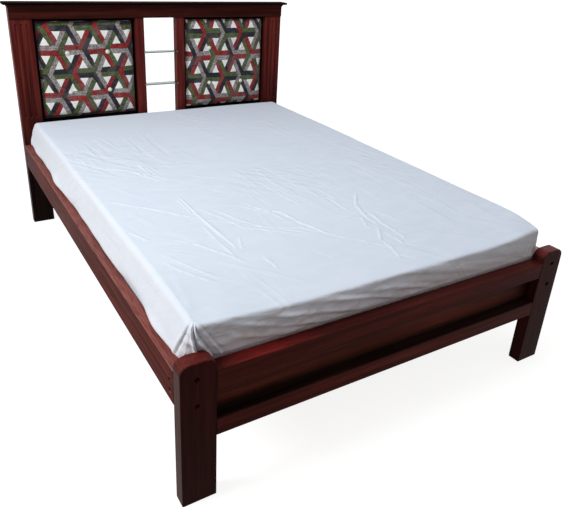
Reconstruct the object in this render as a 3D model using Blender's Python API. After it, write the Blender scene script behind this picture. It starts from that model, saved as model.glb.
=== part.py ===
"""A double bed in stained hardwood, with a padded headboard, a mattress and its sheet.

Metres, +Z up. The bed stands on z = 0 and is centred on x and y; the foot faces -Y.
"""

import math

import bmesh
import bpy
from mathutils import Vector

# Driving dimensions
FIT = 0.0003  # gap between two pieces that touch or slot together
EASE = 0.002  # planed-off arris on timber

MATTRESS_WIDTH = 1.372
MATTRESS_LENGTH = 1.920
MATTRESS_THICKNESS = 0.170
MATTRESS_BULGE = 0.018  # how far the side swells once it is above the rails
MATTRESS_CROWN = 0.008
MATTRESS_EDGE_RADIUS = 0.042
MATTRESS_CORNER_RADIUS = 0.048
SHEET_THICKNESS = 0.0015
SHEET_TUCK = 0.090  # width of sheet folded under the mattress

SIDE_GAP = 0.007  # mattress to side rail
FOOT_GAP = 0.021  # mattress to foot rail
HEAD_GAP = 0.024  # mattress to headboard

POST_DEPTH = 0.045
FOOT_POST_WIDTH = 0.100
FOOT_POST_HEIGHT = 0.460
FOOT_POST_CORNER = 0.028
HEAD_POST_WIDTH = 0.100

RAIL_BOTTOM = 0.313
RAIL_HEIGHT = 0.108
RAIL_THICKNESS = 0.032

FOOT_TOP_RAIL_HEIGHT = 0.060
FOOT_LOWER_RAIL_BOTTOM = 0.208
FOOT_LOWER_RAIL_HEIGHT = 0.055
FOOT_PANEL_SETBACK = 0.036  # panel behind the face of the rails
FOOT_PANEL_THICKNESS = 0.006
FOOT_PANEL_TONGUE = 0.010  # depth of the groove that holds the panel's edge

TENON_THICKNESS = 0.015
TENON_LENGTH = 0.035
TENON_SHOULDER = 0.008

LEDGER_HEIGHT = 0.028
LEDGER_WIDTH = 0.025
LEDGER_SETUP = 0.005  # ledger above the bottom of the rail
LEDGER_END_GAP = 0.050
SLAT_COUNT = 7
SLAT_WIDTH = 0.140
SLAT_THICKNESS = 0.018
SLAT_END_GAP = 0.002

HEAD_RAIL_BOTTOM = 1.020
HEAD_RAIL_HEIGHT = 0.064
HEAD_RAIL_PROUD = 0.006
HEAD_LOWER_RAIL_TOP = 0.505
HEAD_LOWER_RAIL_HEIGHT = 0.095
CAP_THICKNESS = 0.012
CAP_OVERHANG = 0.024
CAP_ROUND = 0.004
COVE_SIZE = 0.009
FLUTE_COUNT = 3
FLUTE_RADIUS = 0.0075
FLUTE_DEPTH = 0.0045
FLUTE_BOTTOM = 0.555
FLUTE_TOP = 1.000

NICHE_WIDTH = 0.175
MULLION_WIDTH = 0.045
SHELF_THICKNESS = 0.006
SHELF_HOUSING = 0.006  # depth of the groove that holds a shelf's end
SHELF_SETBACK = 0.001
SHELF_HEIGHTS = (0.843, 0.675)

PAD_REBATE = 0.008
PAD_BOARD_THICKNESS = 0.010
PAD_BOARD_SETBACK = 0.030
PAD_MARGIN = 0.009  # dark gap round the pad
PAD_FOOT_GAP = 0.030  # gap under the pad, behind the mattress
PAD_EDGE = 0.012
PAD_CROWN = 0.029
PAD_TUFT = 0.010
PAD_TUFT_REACH = 0.050
BUTTON_PITCH_X = 0.197
BUTTON_PITCH_Z = 0.191
BUTTON_RISE = -0.011  # middle of the button rows above the middle of the pad
BUTTON_RADIUS = 0.011
BUTTON_HEIGHT = 0.009

BRACKET_LEG = 0.040
BRACKET_THICKNESS = 0.005
BRACKET_HEIGHT = 0.090
BOLT_RADIUS = 0.003
BOLT_HEAD_RADIUS = 0.0058
BOLT_HEAD_HEIGHT = 0.0045
BOLT_SINK = 0.008  # depth of a bolt head below the timber
BOLT_HOLE_CLEARANCE = 0.0004
BOLT_WELL_CLEARANCE = 0.0022
BOLT_TIP = 0.001  # how far a bolt comes through its bracket
POST_BOLT_SPREAD = 0.082
POST_BOLT_INSET = 0.045  # from the outer face of the post
RAIL_BOLT_SPREAD = 0.033
RAIL_BOLT_DROP = 0.006  # the rail's pair sits this far below the middle of the rail
RAIL_BOLT_INSET = 0.024  # from the post's inner face

# Sizes that follow
INSIDE_WIDTH = MATTRESS_WIDTH + 2 * SIDE_GAP
INSIDE_LENGTH = MATTRESS_LENGTH + FOOT_GAP + HEAD_GAP
HALF_WIDTH = INSIDE_WIDTH / 2 + RAIL_THICKNESS
TOTAL_LENGTH = INSIDE_LENGTH + 2 * POST_DEPTH
FOOT_Y = -TOTAL_LENGTH / 2
FOOT_BACK_Y = FOOT_Y + POST_DEPTH
HEAD_Y = FOOT_BACK_Y + INSIDE_LENGTH
BACK_Y = HEAD_Y + POST_DEPTH
RAIL_TOP = RAIL_BOTTOM + RAIL_HEIGHT
RAIL_MIDDLE = RAIL_BOTTOM + RAIL_HEIGHT / 2
HEAD_RAIL_TOP = HEAD_RAIL_BOTTOM + HEAD_RAIL_HEIGHT
HEAD_LOWER_RAIL_BOTTOM = HEAD_LOWER_RAIL_TOP - HEAD_LOWER_RAIL_HEIGHT
FOOT_INNER_X = HALF_WIDTH - FOOT_POST_WIDTH
HEAD_INNER_X = HALF_WIDTH - HEAD_POST_WIDTH
MULLION_INNER_X = NICHE_WIDTH / 2
MULLION_OUTER_X = MULLION_INNER_X + MULLION_WIDTH
LEDGER_TOP = RAIL_BOTTOM + LEDGER_SETUP + LEDGER_HEIGHT
SLAT_TOP = LEDGER_TOP + FIT + SLAT_THICKNESS
MATTRESS_BOTTOM = SLAT_TOP + SHEET_THICKNESS + 2 * FIT
SIDES = (("left", -1), ("right", 1))


def remove_startup_objects():
    for thing in list(bpy.data.objects):
        bpy.data.objects.remove(thing, do_unlink=True)


def principled(name, colour, roughness, metallic=0.0, transmission=0.0):
    """A plain material; colour is given as display red, green and blue from 0 to 255."""
    made = bpy.data.materials.new(name)
    made.use_nodes = True
    shader = made.node_tree.nodes["Principled BSDF"]
    linear = [((c / 255 + 0.055) / 1.055) ** 2.4 for c in colour]
    shader.inputs["Base Color"].default_value = (*linear, 1)
    shader.inputs["Roughness"].default_value = roughness
    shader.inputs["Metallic"].default_value = metallic
    shader.inputs["Transmission Weight"].default_value = transmission
    made.diffuse_color = (*linear, 1)
    return made


def anchor(name, place, parent=None):
    """An empty on a joint's axis, which carries the pieces that move together."""
    empty = bpy.data.objects.new(name, None)
    empty.empty_display_size = 0.1
    bpy.context.scene.collection.objects.link(empty)
    empty.parent = parent
    offset = parent.location if parent else Vector()
    empty.location = Vector(place) - offset
    return empty


def add_piece(name, bm, finish, place, carrier, smooth=False):
    """Turn a bmesh, modelled round its own origin, into a named object at a place in the bed."""
    bmesh.ops.recalc_face_normals(bm, faces=bm.faces)
    mesh = bpy.data.meshes.new(name)
    bm.to_mesh(mesh)
    bm.free()
    for face in mesh.polygons:
        face.use_smooth = smooth
    piece = bpy.data.objects.new(name, mesh)
    bpy.context.scene.collection.objects.link(piece)
    if finish:
        mesh.materials.append(finish)
    piece.parent = carrier
    offset = carrier.matrix_world.translation if carrier else Vector()
    piece.location = Vector(place) - offset
    return piece


def box_mesh(size, ease=0.0):
    bm = bmesh.new()
    bmesh.ops.create_cube(bm, size=1)
    bmesh.ops.scale(bm, vec=size, verts=bm.verts)
    if ease:
        bmesh.ops.bevel(
            bm, geom=bm.edges[:], offset=ease, segments=1, profile=0.5, affect="EDGES"
        )
    return bm


def middle(low, high):
    return (Vector(low) + Vector(high)) / 2


def extent(low, high):
    return Vector(high) - Vector(low)


def board(name, low, high, finish, carrier, ease=EASE):
    """A planed board that fills the box from its low corner to its high corner."""
    return add_piece(
        name, box_mesh(extent(low, high), ease), finish, middle(low, high), carrier
    )


def tenoned_board(name, low, high, axis, tenon, finish, carrier, ends=(-1, 1)):
    """A board with a stub tenon on each of the ends given, along x (0) or z (2).

    tenon is the full size of the stub on the two other axes and its length on this one.
    """
    size = extent(low, high)
    bm = box_mesh(size)
    long_edges = [
        e for e in bm.edges if abs((e.verts[0].co - e.verts[1].co)[axis]) > 0.9 * size[axis]
    ]
    for end in ends:
        face = max(bm.faces, key=lambda f: f.calc_center_median()[axis] * end)
        shoulder = bmesh.ops.extrude_discrete_faces(bm, faces=[face])["faces"][0]
        for vert in shoulder.verts:
            for other in range(3):
                if other != axis:
                    vert.co[other] = math.copysign(tenon[other] / 2, vert.co[other])
        tip = bmesh.ops.extrude_discrete_faces(bm, faces=[shoulder])["faces"][0]
        step = Vector()
        step[axis] = end * tenon[axis]
        bmesh.ops.translate(bm, vec=step, verts=tip.verts)
    bmesh.ops.bevel(
        bm, geom=long_edges, offset=EASE, segments=1, profile=0.5, affect="EDGES"
    )
    return add_piece(name, bm, finish, middle(low, high), carrier)


def cut(target, bm, place, name):
    """Cut a shape out of a piece with a hidden cutter and a live Boolean."""
    cutter = add_piece(f"{name}_cutter", bm, None, place, None)
    cutter.hide_render = True
    cutter.display_type = "WIRE"
    boolean = target.modifiers.new(name, "BOOLEAN")
    boolean.operation = "DIFFERENCE"
    boolean.solver = "EXACT"
    boolean.object = cutter
    return cutter


def cut_box(target, low, high, name):
    return cut(target, box_mesh(extent(low, high)), middle(low, high), name)


def turned(profile, steps):
    """A solid of revolution about z from (radius, height) points that start and end on the axis."""
    bm = bmesh.new()
    points = [bm.verts.new((radius, 0, height)) for radius, height in profile]
    edges = [bm.edges.new(pair) for pair in zip(points, points[1:])]
    bmesh.ops.spin(
        bm, geom=points + edges, cent=(0, 0, 0), axis=(0, 0, 1), dvec=(0, 0, 0),
        angle=math.tau, steps=steps, use_merge=True, use_duplicate=False,
    )
    bmesh.ops.remove_doubles(bm, verts=bm.verts, dist=1e-6)
    return bm


def face_along(bm, direction):
    """Turn a shape that was made along +z so that it points along a direction."""
    turn = Vector((0, 0, 1)).rotation_difference(Vector(direction)).to_matrix()
    bmesh.ops.rotate(bm, cent=(0, 0, 0), matrix=turn, verts=bm.verts)
    return bm


def rod_mesh(radius, length, steps, direction):
    """A cylinder that starts at its own origin and runs along a direction."""
    profile = [(0, 0), (radius, 0), (radius, length), (0, length)]
    return face_along(turned(profile, steps), direction)


remove_startup_objects()

MAHOGANY = principled("mahogany_stain", (82, 28, 25), 0.32)
DARK_MAHOGANY = principled("dark_mahogany_stain", (40, 16, 15), 0.30)
PALE_WOOD = principled("plain_softwood", (196, 160, 112), 0.6)
PLYWOOD = principled("plywood_stain", (46, 26, 22), 0.65)
PRINT = principled("printed_upholstery", (168, 120, 108), 0.85)
BUTTON_CLOTH = principled("button_cloth", (236, 232, 220), 0.8)
GLASS = principled("clear_glass", (206, 222, 216), 0.05, transmission=0.9)
STEEL = principled("zinc_plated_steel", (120, 120, 118), 0.38, metallic=1.0)
TICKING = principled("mattress_ticking", (226, 222, 212), 0.8)
SHEET = principled("cotton_sheet", (208, 218, 234), 0.85)

FRAME = anchor("bed_frame", (0, 0, 0))
MATTRESS_LIFT = anchor("mattress_lift", (0, 0, MATTRESS_BOTTOM), FRAME)
bpy.context.view_layer.update()


def foot_posts():
    """Two square-planed posts whose top corners are rounded in the front view."""
    made = {}
    half = FOOT_POST_WIDTH / 2
    for side, sign in SIDES:
        bm = box_mesh((FOOT_POST_WIDTH, POST_DEPTH, FOOT_POST_HEIGHT))
        corners = [
            e for e in bm.edges
            if all(v.co.z > 0 for v in e.verts)
            and abs(e.verts[0].co.y - e.verts[1].co.y) > POST_DEPTH / 2
        ]
        bmesh.ops.bevel(
            bm, geom=corners, offset=FOOT_POST_CORNER, segments=5, profile=0.5, affect="EDGES"
        )
        arrises = [
            e for e in bm.edges
            if abs(e.verts[0].co.y - e.verts[1].co.y) < 1e-6
            and max(v.co.z for v in e.verts) > 1e-6 - FOOT_POST_HEIGHT / 2
        ]
        bmesh.ops.bevel(
            bm, geom=arrises, offset=EASE, segments=1, profile=0.5, affect="EDGES"
        )
        place = (
            sign * (HALF_WIDTH - half),
            FOOT_Y + POST_DEPTH / 2,
            FOOT_POST_HEIGHT / 2,
        )
        made[side] = add_piece(f"foot_post_{side}", bm, MAHOGANY, place, FRAME)
    return made


def foot_end(posts):
    """The foot's top rail, thin panel and lower rail, tenoned and grooved into the posts."""
    span = FOOT_INNER_X - FIT
    rails = {
        "foot_top_rail": (RAIL_TOP - FOOT_TOP_RAIL_HEIGHT, RAIL_TOP),
        "foot_lower_rail": (
            FOOT_LOWER_RAIL_BOTTOM,
            FOOT_LOWER_RAIL_BOTTOM + FOOT_LOWER_RAIL_HEIGHT,
        ),
    }
    made = {}
    for name, (bottom, top) in rails.items():
        stub = (TENON_LENGTH, TENON_THICKNESS, top - bottom - 2 * TENON_SHOULDER)
        low = (-span, FOOT_Y, bottom)
        high = (span, FOOT_BACK_Y, top)
        made[name] = tenoned_board(name, low, high, 0, stub, MAHOGANY, FRAME)
        for side, sign in SIDES:
            mouth = Vector((TENON_LENGTH + 4 * FIT, stub[1] + 2 * FIT, stub[2] + 2 * FIT))
            middle_x = sign * (FOOT_INNER_X + mouth.x / 2 - 2 * FIT)
            place = (middle_x, middle(low, high).y, middle(low, high).z)
            cut(posts[side], box_mesh(mouth), place, f"{name}_mortise_{side}")

    front = FOOT_Y + FOOT_PANEL_SETBACK
    reach = FOOT_INNER_X + FOOT_PANEL_TONGUE
    bottom = rails["foot_lower_rail"][1] - FOOT_PANEL_TONGUE
    top = rails["foot_top_rail"][0] + FOOT_PANEL_TONGUE
    low = Vector((-reach, front, bottom))
    high = Vector((reach, front + FOOT_PANEL_THICKNESS, top))
    slack = Vector((FIT, FIT, FIT))
    board("foot_panel", low + slack, high - slack, MAHOGANY, FRAME, ease=0)
    for side, _ in SIDES:
        cut_box(posts[side], low, high, f"foot_panel_groove_{side}")
    for name, rail in made.items():
        cut_box(rail, low, high, f"foot_panel_groove_{name}")


def side_rails():
    """Long rails that run from post to post, flush with the posts' outer faces."""
    made = {}
    for side, sign in SIDES:
        outer = sign * HALF_WIDTH
        inner = sign * (HALF_WIDTH - RAIL_THICKNESS)
        low = (min(outer, inner), FOOT_BACK_Y + FIT, RAIL_BOTTOM)
        high = (max(outer, inner), HEAD_Y - FIT, RAIL_TOP)
        made[side] = board(f"side_rail_{side}", low, high, MAHOGANY, FRAME)
    return made


def slat_base():
    """Ledgers fixed inside the rails, and wide slats that lie loose across them."""
    for side, sign in SIDES:
        outer = sign * (INSIDE_WIDTH / 2 - FIT)
        inner = outer - sign * LEDGER_WIDTH
        low = (
            min(outer, inner), FOOT_BACK_Y + LEDGER_END_GAP, LEDGER_TOP - LEDGER_HEIGHT
        )
        high = (max(outer, inner), HEAD_Y - LEDGER_END_GAP, LEDGER_TOP)
        board(f"slat_ledger_{side}", low, high, PALE_WOOD, FRAME)
    first = FOOT_BACK_Y + LEDGER_END_GAP + SLAT_WIDTH / 2
    last = HEAD_Y - LEDGER_END_GAP - SLAT_WIDTH / 2
    reach = INSIDE_WIDTH / 2 - SLAT_END_GAP
    for index in range(SLAT_COUNT):
        y = first + (last - first) * index / (SLAT_COUNT - 1)
        low = (-reach, y - SLAT_WIDTH / 2, SLAT_TOP - SLAT_THICKNESS)
        high = (reach, y + SLAT_WIDTH / 2, SLAT_TOP)
        board(f"slat_{index + 1}", low, high, PALE_WOOD, FRAME)


def headboard():
    """Fluted posts, a top rail laid across them, a lower rail and two mullions."""
    made = {}
    stub_x = HEAD_POST_WIDTH - 2 * TENON_SHOULDER
    post_stub = (stub_x, TENON_THICKNESS, TENON_LENGTH)
    post_top = HEAD_RAIL_BOTTOM - FIT
    for side, sign in SIDES:
        outer = sign * HALF_WIDTH
        inner = sign * HEAD_INNER_X
        low = (min(outer, inner), HEAD_Y, 0)
        high = (max(outer, inner), BACK_Y, post_top)
        made[f"post_{side}"] = tenoned_board(
            f"head_post_{side}", low, high, 2, post_stub, MAHOGANY, FRAME, ends=(1,)
        )

    low = (-HALF_WIDTH, HEAD_Y - HEAD_RAIL_PROUD, HEAD_RAIL_BOTTOM)
    high = (HALF_WIDTH, BACK_Y, HEAD_RAIL_TOP)
    made["top_rail"] = board("head_top_rail", low, high, MAHOGANY, FRAME)

    height = HEAD_LOWER_RAIL_HEIGHT - 2 * TENON_SHOULDER
    rail_stub = (TENON_LENGTH, TENON_THICKNESS, height)
    low = (-HEAD_INNER_X + FIT, HEAD_Y, HEAD_LOWER_RAIL_BOTTOM)
    high = (HEAD_INNER_X - FIT, BACK_Y, HEAD_LOWER_RAIL_TOP)
    made["lower_rail"] = tenoned_board(
        "head_lower_rail", low, high, 0, rail_stub, MAHOGANY, FRAME
    )

    mullion_stub = (MULLION_WIDTH - 2 * TENON_SHOULDER, TENON_THICKNESS, TENON_LENGTH)
    for side, sign in SIDES:
        ends = sorted((sign * MULLION_INNER_X, sign * MULLION_OUTER_X))
        low = (ends[0], HEAD_Y, HEAD_LOWER_RAIL_TOP + FIT)
        high = (ends[1], BACK_Y, HEAD_RAIL_BOTTOM - FIT)
        made[f"mullion_{side}"] = tenoned_board(
            f"mullion_{side}", low, high, 2, mullion_stub, MAHOGANY, FRAME
        )

    middle_y = HEAD_Y + POST_DEPTH / 2
    for side, sign in SIDES:
        post_x = sign * (HALF_WIDTH - HEAD_POST_WIDTH / 2)
        mullion_x = sign * (MULLION_INNER_X + MULLION_WIDTH / 2)
        for name, stub, x, z, target, way in (
            ("post_head", post_stub, post_x, HEAD_RAIL_BOTTOM, "top_rail", 1),
            ("mullion_head", mullion_stub, mullion_x, HEAD_RAIL_BOTTOM, "top_rail", 1),
            ("mullion_foot", mullion_stub, mullion_x, HEAD_LOWER_RAIL_TOP, "lower_rail", -1),
        ):
            mouth = Vector((stub[0] + 2 * FIT, stub[1] + 2 * FIT, stub[2] + 4 * FIT))
            place = (x, middle_y, z + way * (mouth.z / 2 - 2 * FIT))
            cut(made[target], box_mesh(mouth), place, f"{name}_mortise_{side}")
        mouth = Vector((TENON_LENGTH + 4 * FIT, TENON_THICKNESS + 2 * FIT, height + 2 * FIT))
        place = (
            sign * (HEAD_INNER_X + mouth.x / 2 - 2 * FIT),
            middle_y,
            HEAD_LOWER_RAIL_TOP - HEAD_LOWER_RAIL_HEIGHT / 2,
        )
        cut(made[f"post_{side}"], box_mesh(mouth), place, f"lower_rail_mortise_{side}")
        cut_flutes(made[f"post_{side}"], post_x, side)
    return made


def cut_flutes(post, post_x, side):
    """Stopped flutes, round at both ends, run down the face of a head post."""
    length = FLUTE_TOP - FLUTE_BOTTOM
    dome = [
        (FLUTE_RADIUS * math.sin(a), FLUTE_RADIUS * (1 - math.cos(a)))
        for a in (0, math.pi / 6, math.pi / 3, math.pi / 2)
    ]
    profile = dome + [(r, length - z) for r, z in reversed(dome)]
    profile[0] = (0, 0)
    profile[-1] = (0, length)
    pitch = HEAD_POST_WIDTH / (FLUTE_COUNT + 1)
    for index in range(FLUTE_COUNT):
        x = post_x + pitch * (index - (FLUTE_COUNT - 1) / 2)
        y = HEAD_Y - FLUTE_RADIUS + FLUTE_DEPTH
        cut(post, turned(profile, 14), (x, y, FLUTE_BOTTOM), f"flute_{side}_{index + 1}")


def headboard_top():
    """A thin cap board over the top rail, with a cove moulding mitred round under it."""
    front = HEAD_Y - HEAD_RAIL_PROUD
    low = (-HALF_WIDTH - CAP_OVERHANG, front - CAP_OVERHANG, HEAD_RAIL_TOP + FIT)
    high = (HALF_WIDTH + CAP_OVERHANG, BACK_Y, HEAD_RAIL_TOP + FIT + CAP_THICKNESS)
    board("head_cap", low, high, DARK_MAHOGANY, FRAME, ease=CAP_ROUND)

    steps = 4
    arc = [
        (
            COVE_SIZE * (1 - math.cos(math.pi / 2 * k / steps)),
            COVE_SIZE * math.sin(math.pi / 2 * k / steps),
        )
        for k in range(steps + 1)
    ]
    lip = 0.002
    profile = [(FIT, COVE_SIZE), (FIT, -lip)] + [(lip + out, up) for out, up in arc]
    corners = [(-1, 0), (-1, 1), (1, 1), (1, 0)]
    bm = bmesh.new()
    rings = []
    for across, forward in corners:
        ring = []
        for out, up in profile:
            x = across * (HALF_WIDTH + out)
            y = front - out if forward else BACK_Y
            ring.append(bm.verts.new((x, y, up)))
        rings.append([bm.edges.new(pair) for pair in zip(ring, ring[1:] + ring[:1])])
    for first, second in zip(rings, rings[1:]):
        bmesh.ops.bridge_loops(bm, edges=first + second)
    for ring in (rings[0], rings[-1]):
        bmesh.ops.contextual_create(bm, geom=ring)
    place = (0, 0, HEAD_RAIL_TOP - COVE_SIZE)
    add_piece("cap_cove", bm, MAHOGANY, place, FRAME)


def pads(frame_pieces):
    """Two upholstered pads on plywood, dropped into rebates from behind, four buttons on each."""
    opening_x = (MULLION_OUTER_X + HEAD_INNER_X) / 2
    opening_z = (HEAD_LOWER_RAIL_TOP + HEAD_RAIL_BOTTOM) / 2
    half_x = (HEAD_INNER_X - MULLION_OUTER_X) / 2
    half_z = (HEAD_RAIL_BOTTOM - HEAD_LOWER_RAIL_TOP) / 2
    board_front = HEAD_Y + PAD_BOARD_SETBACK
    grow = Vector((half_x + PAD_REBATE, 0, half_z + PAD_REBATE))
    for side, sign in SIDES:
        centre = Vector((sign * opening_x, 0, opening_z))
        low = centre - grow + Vector((0, board_front, 0))
        high = centre + grow + Vector((0, BACK_Y + 0.01, 0))
        for member in (f"post_{side}", f"mullion_{side}", "top_rail", "lower_rail"):
            cut_box(frame_pieces[member], low, high, f"pad_rebate_{member}_{side}")
        shrink = Vector((2 * FIT, -FIT, 2 * FIT))
        low = low + shrink
        high = high - Vector((2 * FIT, 0, 2 * FIT))
        high.y = board_front + FIT + PAD_BOARD_THICKNESS
        low.y = board_front + FIT
        board(f"pad_board_{side}", low, high, PLYWOOD, FRAME, ease=0)
        raised = (PAD_FOOT_GAP - PAD_MARGIN) / 2
        place = Vector((centre.x, board_front, centre.z + raised))
        one_pad(side, place, half_x - PAD_MARGIN, half_z - PAD_MARGIN - raised)


def pad_front(x, z, half_x, half_z):
    """How far the pad's face stands in front of its board at a point from its middle."""
    u = min(abs(x) / half_x, 1)
    v = min(abs(z) / half_z, 1)
    crown = (1 - u ** 6) ** 0.5 * (1 - v ** 6) ** 0.5
    face = PAD_EDGE + (PAD_CROWN - PAD_EDGE) * crown
    for bx in (-BUTTON_PITCH_X / 2, BUTTON_PITCH_X / 2):
        for bz in (-BUTTON_PITCH_Z / 2, BUTTON_PITCH_Z / 2):
            away = math.hypot(x - bx, z - bz - BUTTON_RISE)
            face -= PAD_TUFT * math.exp(-((2.2 * away / PAD_TUFT_REACH) ** 2))
    return face


def stations(half, marks, count):
    """Evenly spaced grid lines from -half to half, with the nearest ones moved onto the marks."""
    lines = [half * math.sin(math.pi / 2 * (2 * k / count - 1) * 0.82) for k in range(count + 1)]
    lines = [line * half / abs(lines[0]) for line in lines]
    for mark in marks:
        nearest = min(range(1, count), key=lambda k: abs(lines[k] - mark))
        lines[nearest] = mark
    return lines


def one_pad(side, place, half_x, half_z):
    marks_x = (-BUTTON_PITCH_X / 2, BUTTON_PITCH_X / 2)
    marks_z = (BUTTON_RISE - BUTTON_PITCH_Z / 2, BUTTON_RISE + BUTTON_PITCH_Z / 2)
    count = 20
    across = stations(half_x, marks_x, count)
    upward = stations(half_z, marks_z, count)
    bm = bmesh.new()
    bmesh.ops.create_grid(bm, x_segments=count, y_segments=count, size=count / 2)
    for vert in bm.verts:
        x = across[round(vert.co.x + count / 2)]
        z = upward[round(vert.co.y + count / 2)]
        vert.co = (x, -pad_front(x, z, half_x, half_z), z)
    rim = [e for e in bm.edges if e.is_boundary]
    back = bmesh.ops.extrude_edge_only(bm, edges=rim)["geom"]
    for vert in [g for g in back if isinstance(g, bmesh.types.BMVert)]:
        vert.co.y = 0
    bmesh.ops.contextual_create(bm, geom=[g for g in back if isinstance(g, bmesh.types.BMEdge)])
    add_piece(f"pad_{side}", bm, PRINT, place, FRAME, smooth=True)

    profile = [
        (0, 0),
        (BUTTON_RADIUS, 0.55 * BUTTON_HEIGHT),
        (0.97 * BUTTON_RADIUS, 0.72 * BUTTON_HEIGHT),
        (0.6 * BUTTON_RADIUS, 0.93 * BUTTON_HEIGHT),
        (0, BUTTON_HEIGHT),
    ]
    spots = [(x, z) for z in reversed(marks_z) for x in marks_x]
    for index, (x, z) in enumerate(spots):
        button = face_along(turned(profile, 12), (0, -1, 0))
        seat = Vector((x, -pad_front(x, z, half_x, half_z) - FIT, z))
        name = f"pad_button_{side}_{index + 1}"
        add_piece(name, button, BUTTON_CLOTH, place + seat, FRAME, smooth=True)


def glass_shelves(frame_pieces):
    """Two loose glass shelves that slide forward out of grooves in the mullions."""
    for name, height in zip(("upper", "lower"), SHELF_HEIGHTS):
        reach = MULLION_INNER_X + SHELF_HOUSING - FIT
        low = Vector((-reach, HEAD_Y + SHELF_SETBACK, height))
        high = Vector((reach, BACK_Y - SHELF_SETBACK, height + SHELF_THICKNESS))
        slide = anchor(f"{name}_shelf_slide", middle(low, high), FRAME)
        bpy.context.view_layer.update()
        board(f"glass_shelf_{name}", low, high, GLASS, slide, ease=0.0006)
        for side, sign in SIDES:
            ends = sorted((
                sign * (MULLION_INNER_X - 0.01), sign * (MULLION_INNER_X + SHELF_HOUSING)
            ))
            groove_low = (ends[0], HEAD_Y - 0.01, height - FIT)
            groove_high = (ends[1], BACK_Y - SHELF_SETBACK + FIT, height + SHELF_THICKNESS + FIT)
            cut_box(
                frame_pieces[f"mullion_{side}"], groove_low, groove_high,
                f"{name}_shelf_groove_{side}",
            )


def bolt_mesh(length):
    """A pan-headed bolt: its head starts at the origin and its shank runs along +z."""
    profile = [
        (0, 0),
        (0.7 * BOLT_HEAD_RADIUS, 0),
        (BOLT_HEAD_RADIUS, 0.4 * BOLT_HEAD_HEIGHT),
        (BOLT_HEAD_RADIUS, BOLT_HEAD_HEIGHT),
        (BOLT_RADIUS, BOLT_HEAD_HEIGHT),
        (BOLT_RADIUS, length),
        (0, length),
    ]
    return turned(profile, 10)


def corner_fixings(foot, rails, head):
    """An angle of tapped steel in each corner, two bolts through the post and two through the rail."""
    inside_x = INSIDE_WIDTH / 2
    for end, toward, face, timber in (("foot", 1, FOOT_BACK_Y, foot), ("head", -1, HEAD_Y, head)):
        for side, sign in SIDES:
            bm = bmesh.new()
            corner = Vector((sign * (inside_x - FIT), face + toward * FIT, 0))
            outline = [
                (0, 0), (BRACKET_LEG, 0), (BRACKET_LEG, BRACKET_THICKNESS),
                (BRACKET_THICKNESS, BRACKET_THICKNESS), (BRACKET_THICKNESS, BRACKET_LEG),
                (0, BRACKET_LEG),
            ]
            flat = [bm.verts.new((-sign * a, toward * b, 0)) for a, b in outline]
            profile = bm.faces.new(flat)
            upper = bmesh.ops.extrude_face_region(bm, geom=[profile])["geom"]
            rise = [g for g in upper if isinstance(g, bmesh.types.BMVert)]
            bmesh.ops.translate(bm, vec=(0, 0, BRACKET_HEIGHT), verts=rise)
            foot_of = Vector((0, 0, RAIL_MIDDLE - BRACKET_HEIGHT / 2))
            bracket = add_piece(
                f"corner_bracket_{end}_{side}", bm, STEEL, corner + foot_of, FRAME
            )

            post = timber[side] if end == "foot" else timber[f"post_{side}"]
            outer_face = FOOT_Y if end == "foot" else BACK_Y
            post_x = sign * (HALF_WIDTH - POST_BOLT_INSET)
            rail_y = face + toward * RAIL_BOLT_INSET
            drilled = (
                ("post", post, POST_BOLT_SPREAD, Vector((0, toward, 0)),
                 Vector((post_x, outer_face, 0)), POST_DEPTH),
                ("rail", rails[side], RAIL_BOLT_SPREAD, Vector((-sign, 0, 0)),
                 Vector((sign * HALF_WIDTH, rail_y, -RAIL_BOLT_DROP)), RAIL_THICKNESS),
            )
            for kind, wood, spread, way, start, depth in drilled:
                length = depth - BOLT_SINK + FIT + BRACKET_THICKNESS + BOLT_TIP
                for level, offset in (("upper", spread / 2), ("lower", -spread / 2)):
                    mouth = start + Vector((0, 0, RAIL_MIDDLE + offset))
                    tag = f"{kind}_bolt_{end}_{side}_{level}"
                    seat = mouth + way * BOLT_SINK
                    bolt = face_along(bolt_mesh(length), way)
                    add_piece(tag, bolt, STEEL, seat, FRAME, smooth=False)
                    reach = BOLT_SINK + BOLT_HEAD_HEIGHT + FIT
                    well = rod_mesh(
                        BOLT_HEAD_RADIUS + BOLT_WELL_CLEARANCE, reach + 0.01, 12, way
                    )
                    cut(wood, well, mouth - way * 0.01, f"{tag}_well")
                    hole = rod_mesh(BOLT_RADIUS + BOLT_HOLE_CLEARANCE, depth + 0.02, 10, way)
                    drill = cut(wood, hole, mouth - way * 0.005, f"{tag}_hole")
                    tapped = bracket.modifiers.new(f"{tag}_thread", "BOOLEAN")
                    tapped.operation = "DIFFERENCE"
                    tapped.solver = "EXACT"
                    tapped.object = drill


def rounded_outline(half_x, half_y, radius, per_corner, per_side):
    """Points round a rectangle with round corners, anticlockwise from the right-hand side."""
    points = []
    quarter = math.pi / 2
    for turn, (cx, cy) in enumerate(((1, 1), (-1, 1), (-1, -1), (1, -1))):
        middle_x = cx * (half_x - radius)
        middle_y = cy * (half_y - radius)
        for k in range(per_corner + 1):
            a = quarter * (turn + k / per_corner)
            points.append((middle_x + radius * math.cos(a), middle_y + radius * math.sin(a)))
        nx, ny = ((-1, 1), (-1, -1), (1, -1), (1, 1))[turn]
        a = quarter * (turn + 1)
        last = Vector(points[-1])
        following = Vector((
            nx * (half_x - radius) + radius * math.cos(a),
            ny * (half_y - radius) + radius * math.sin(a),
        ))
        for k in range(1, per_side):
            points.append(tuple(last.lerp(following, k / per_side)))
    return points


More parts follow.
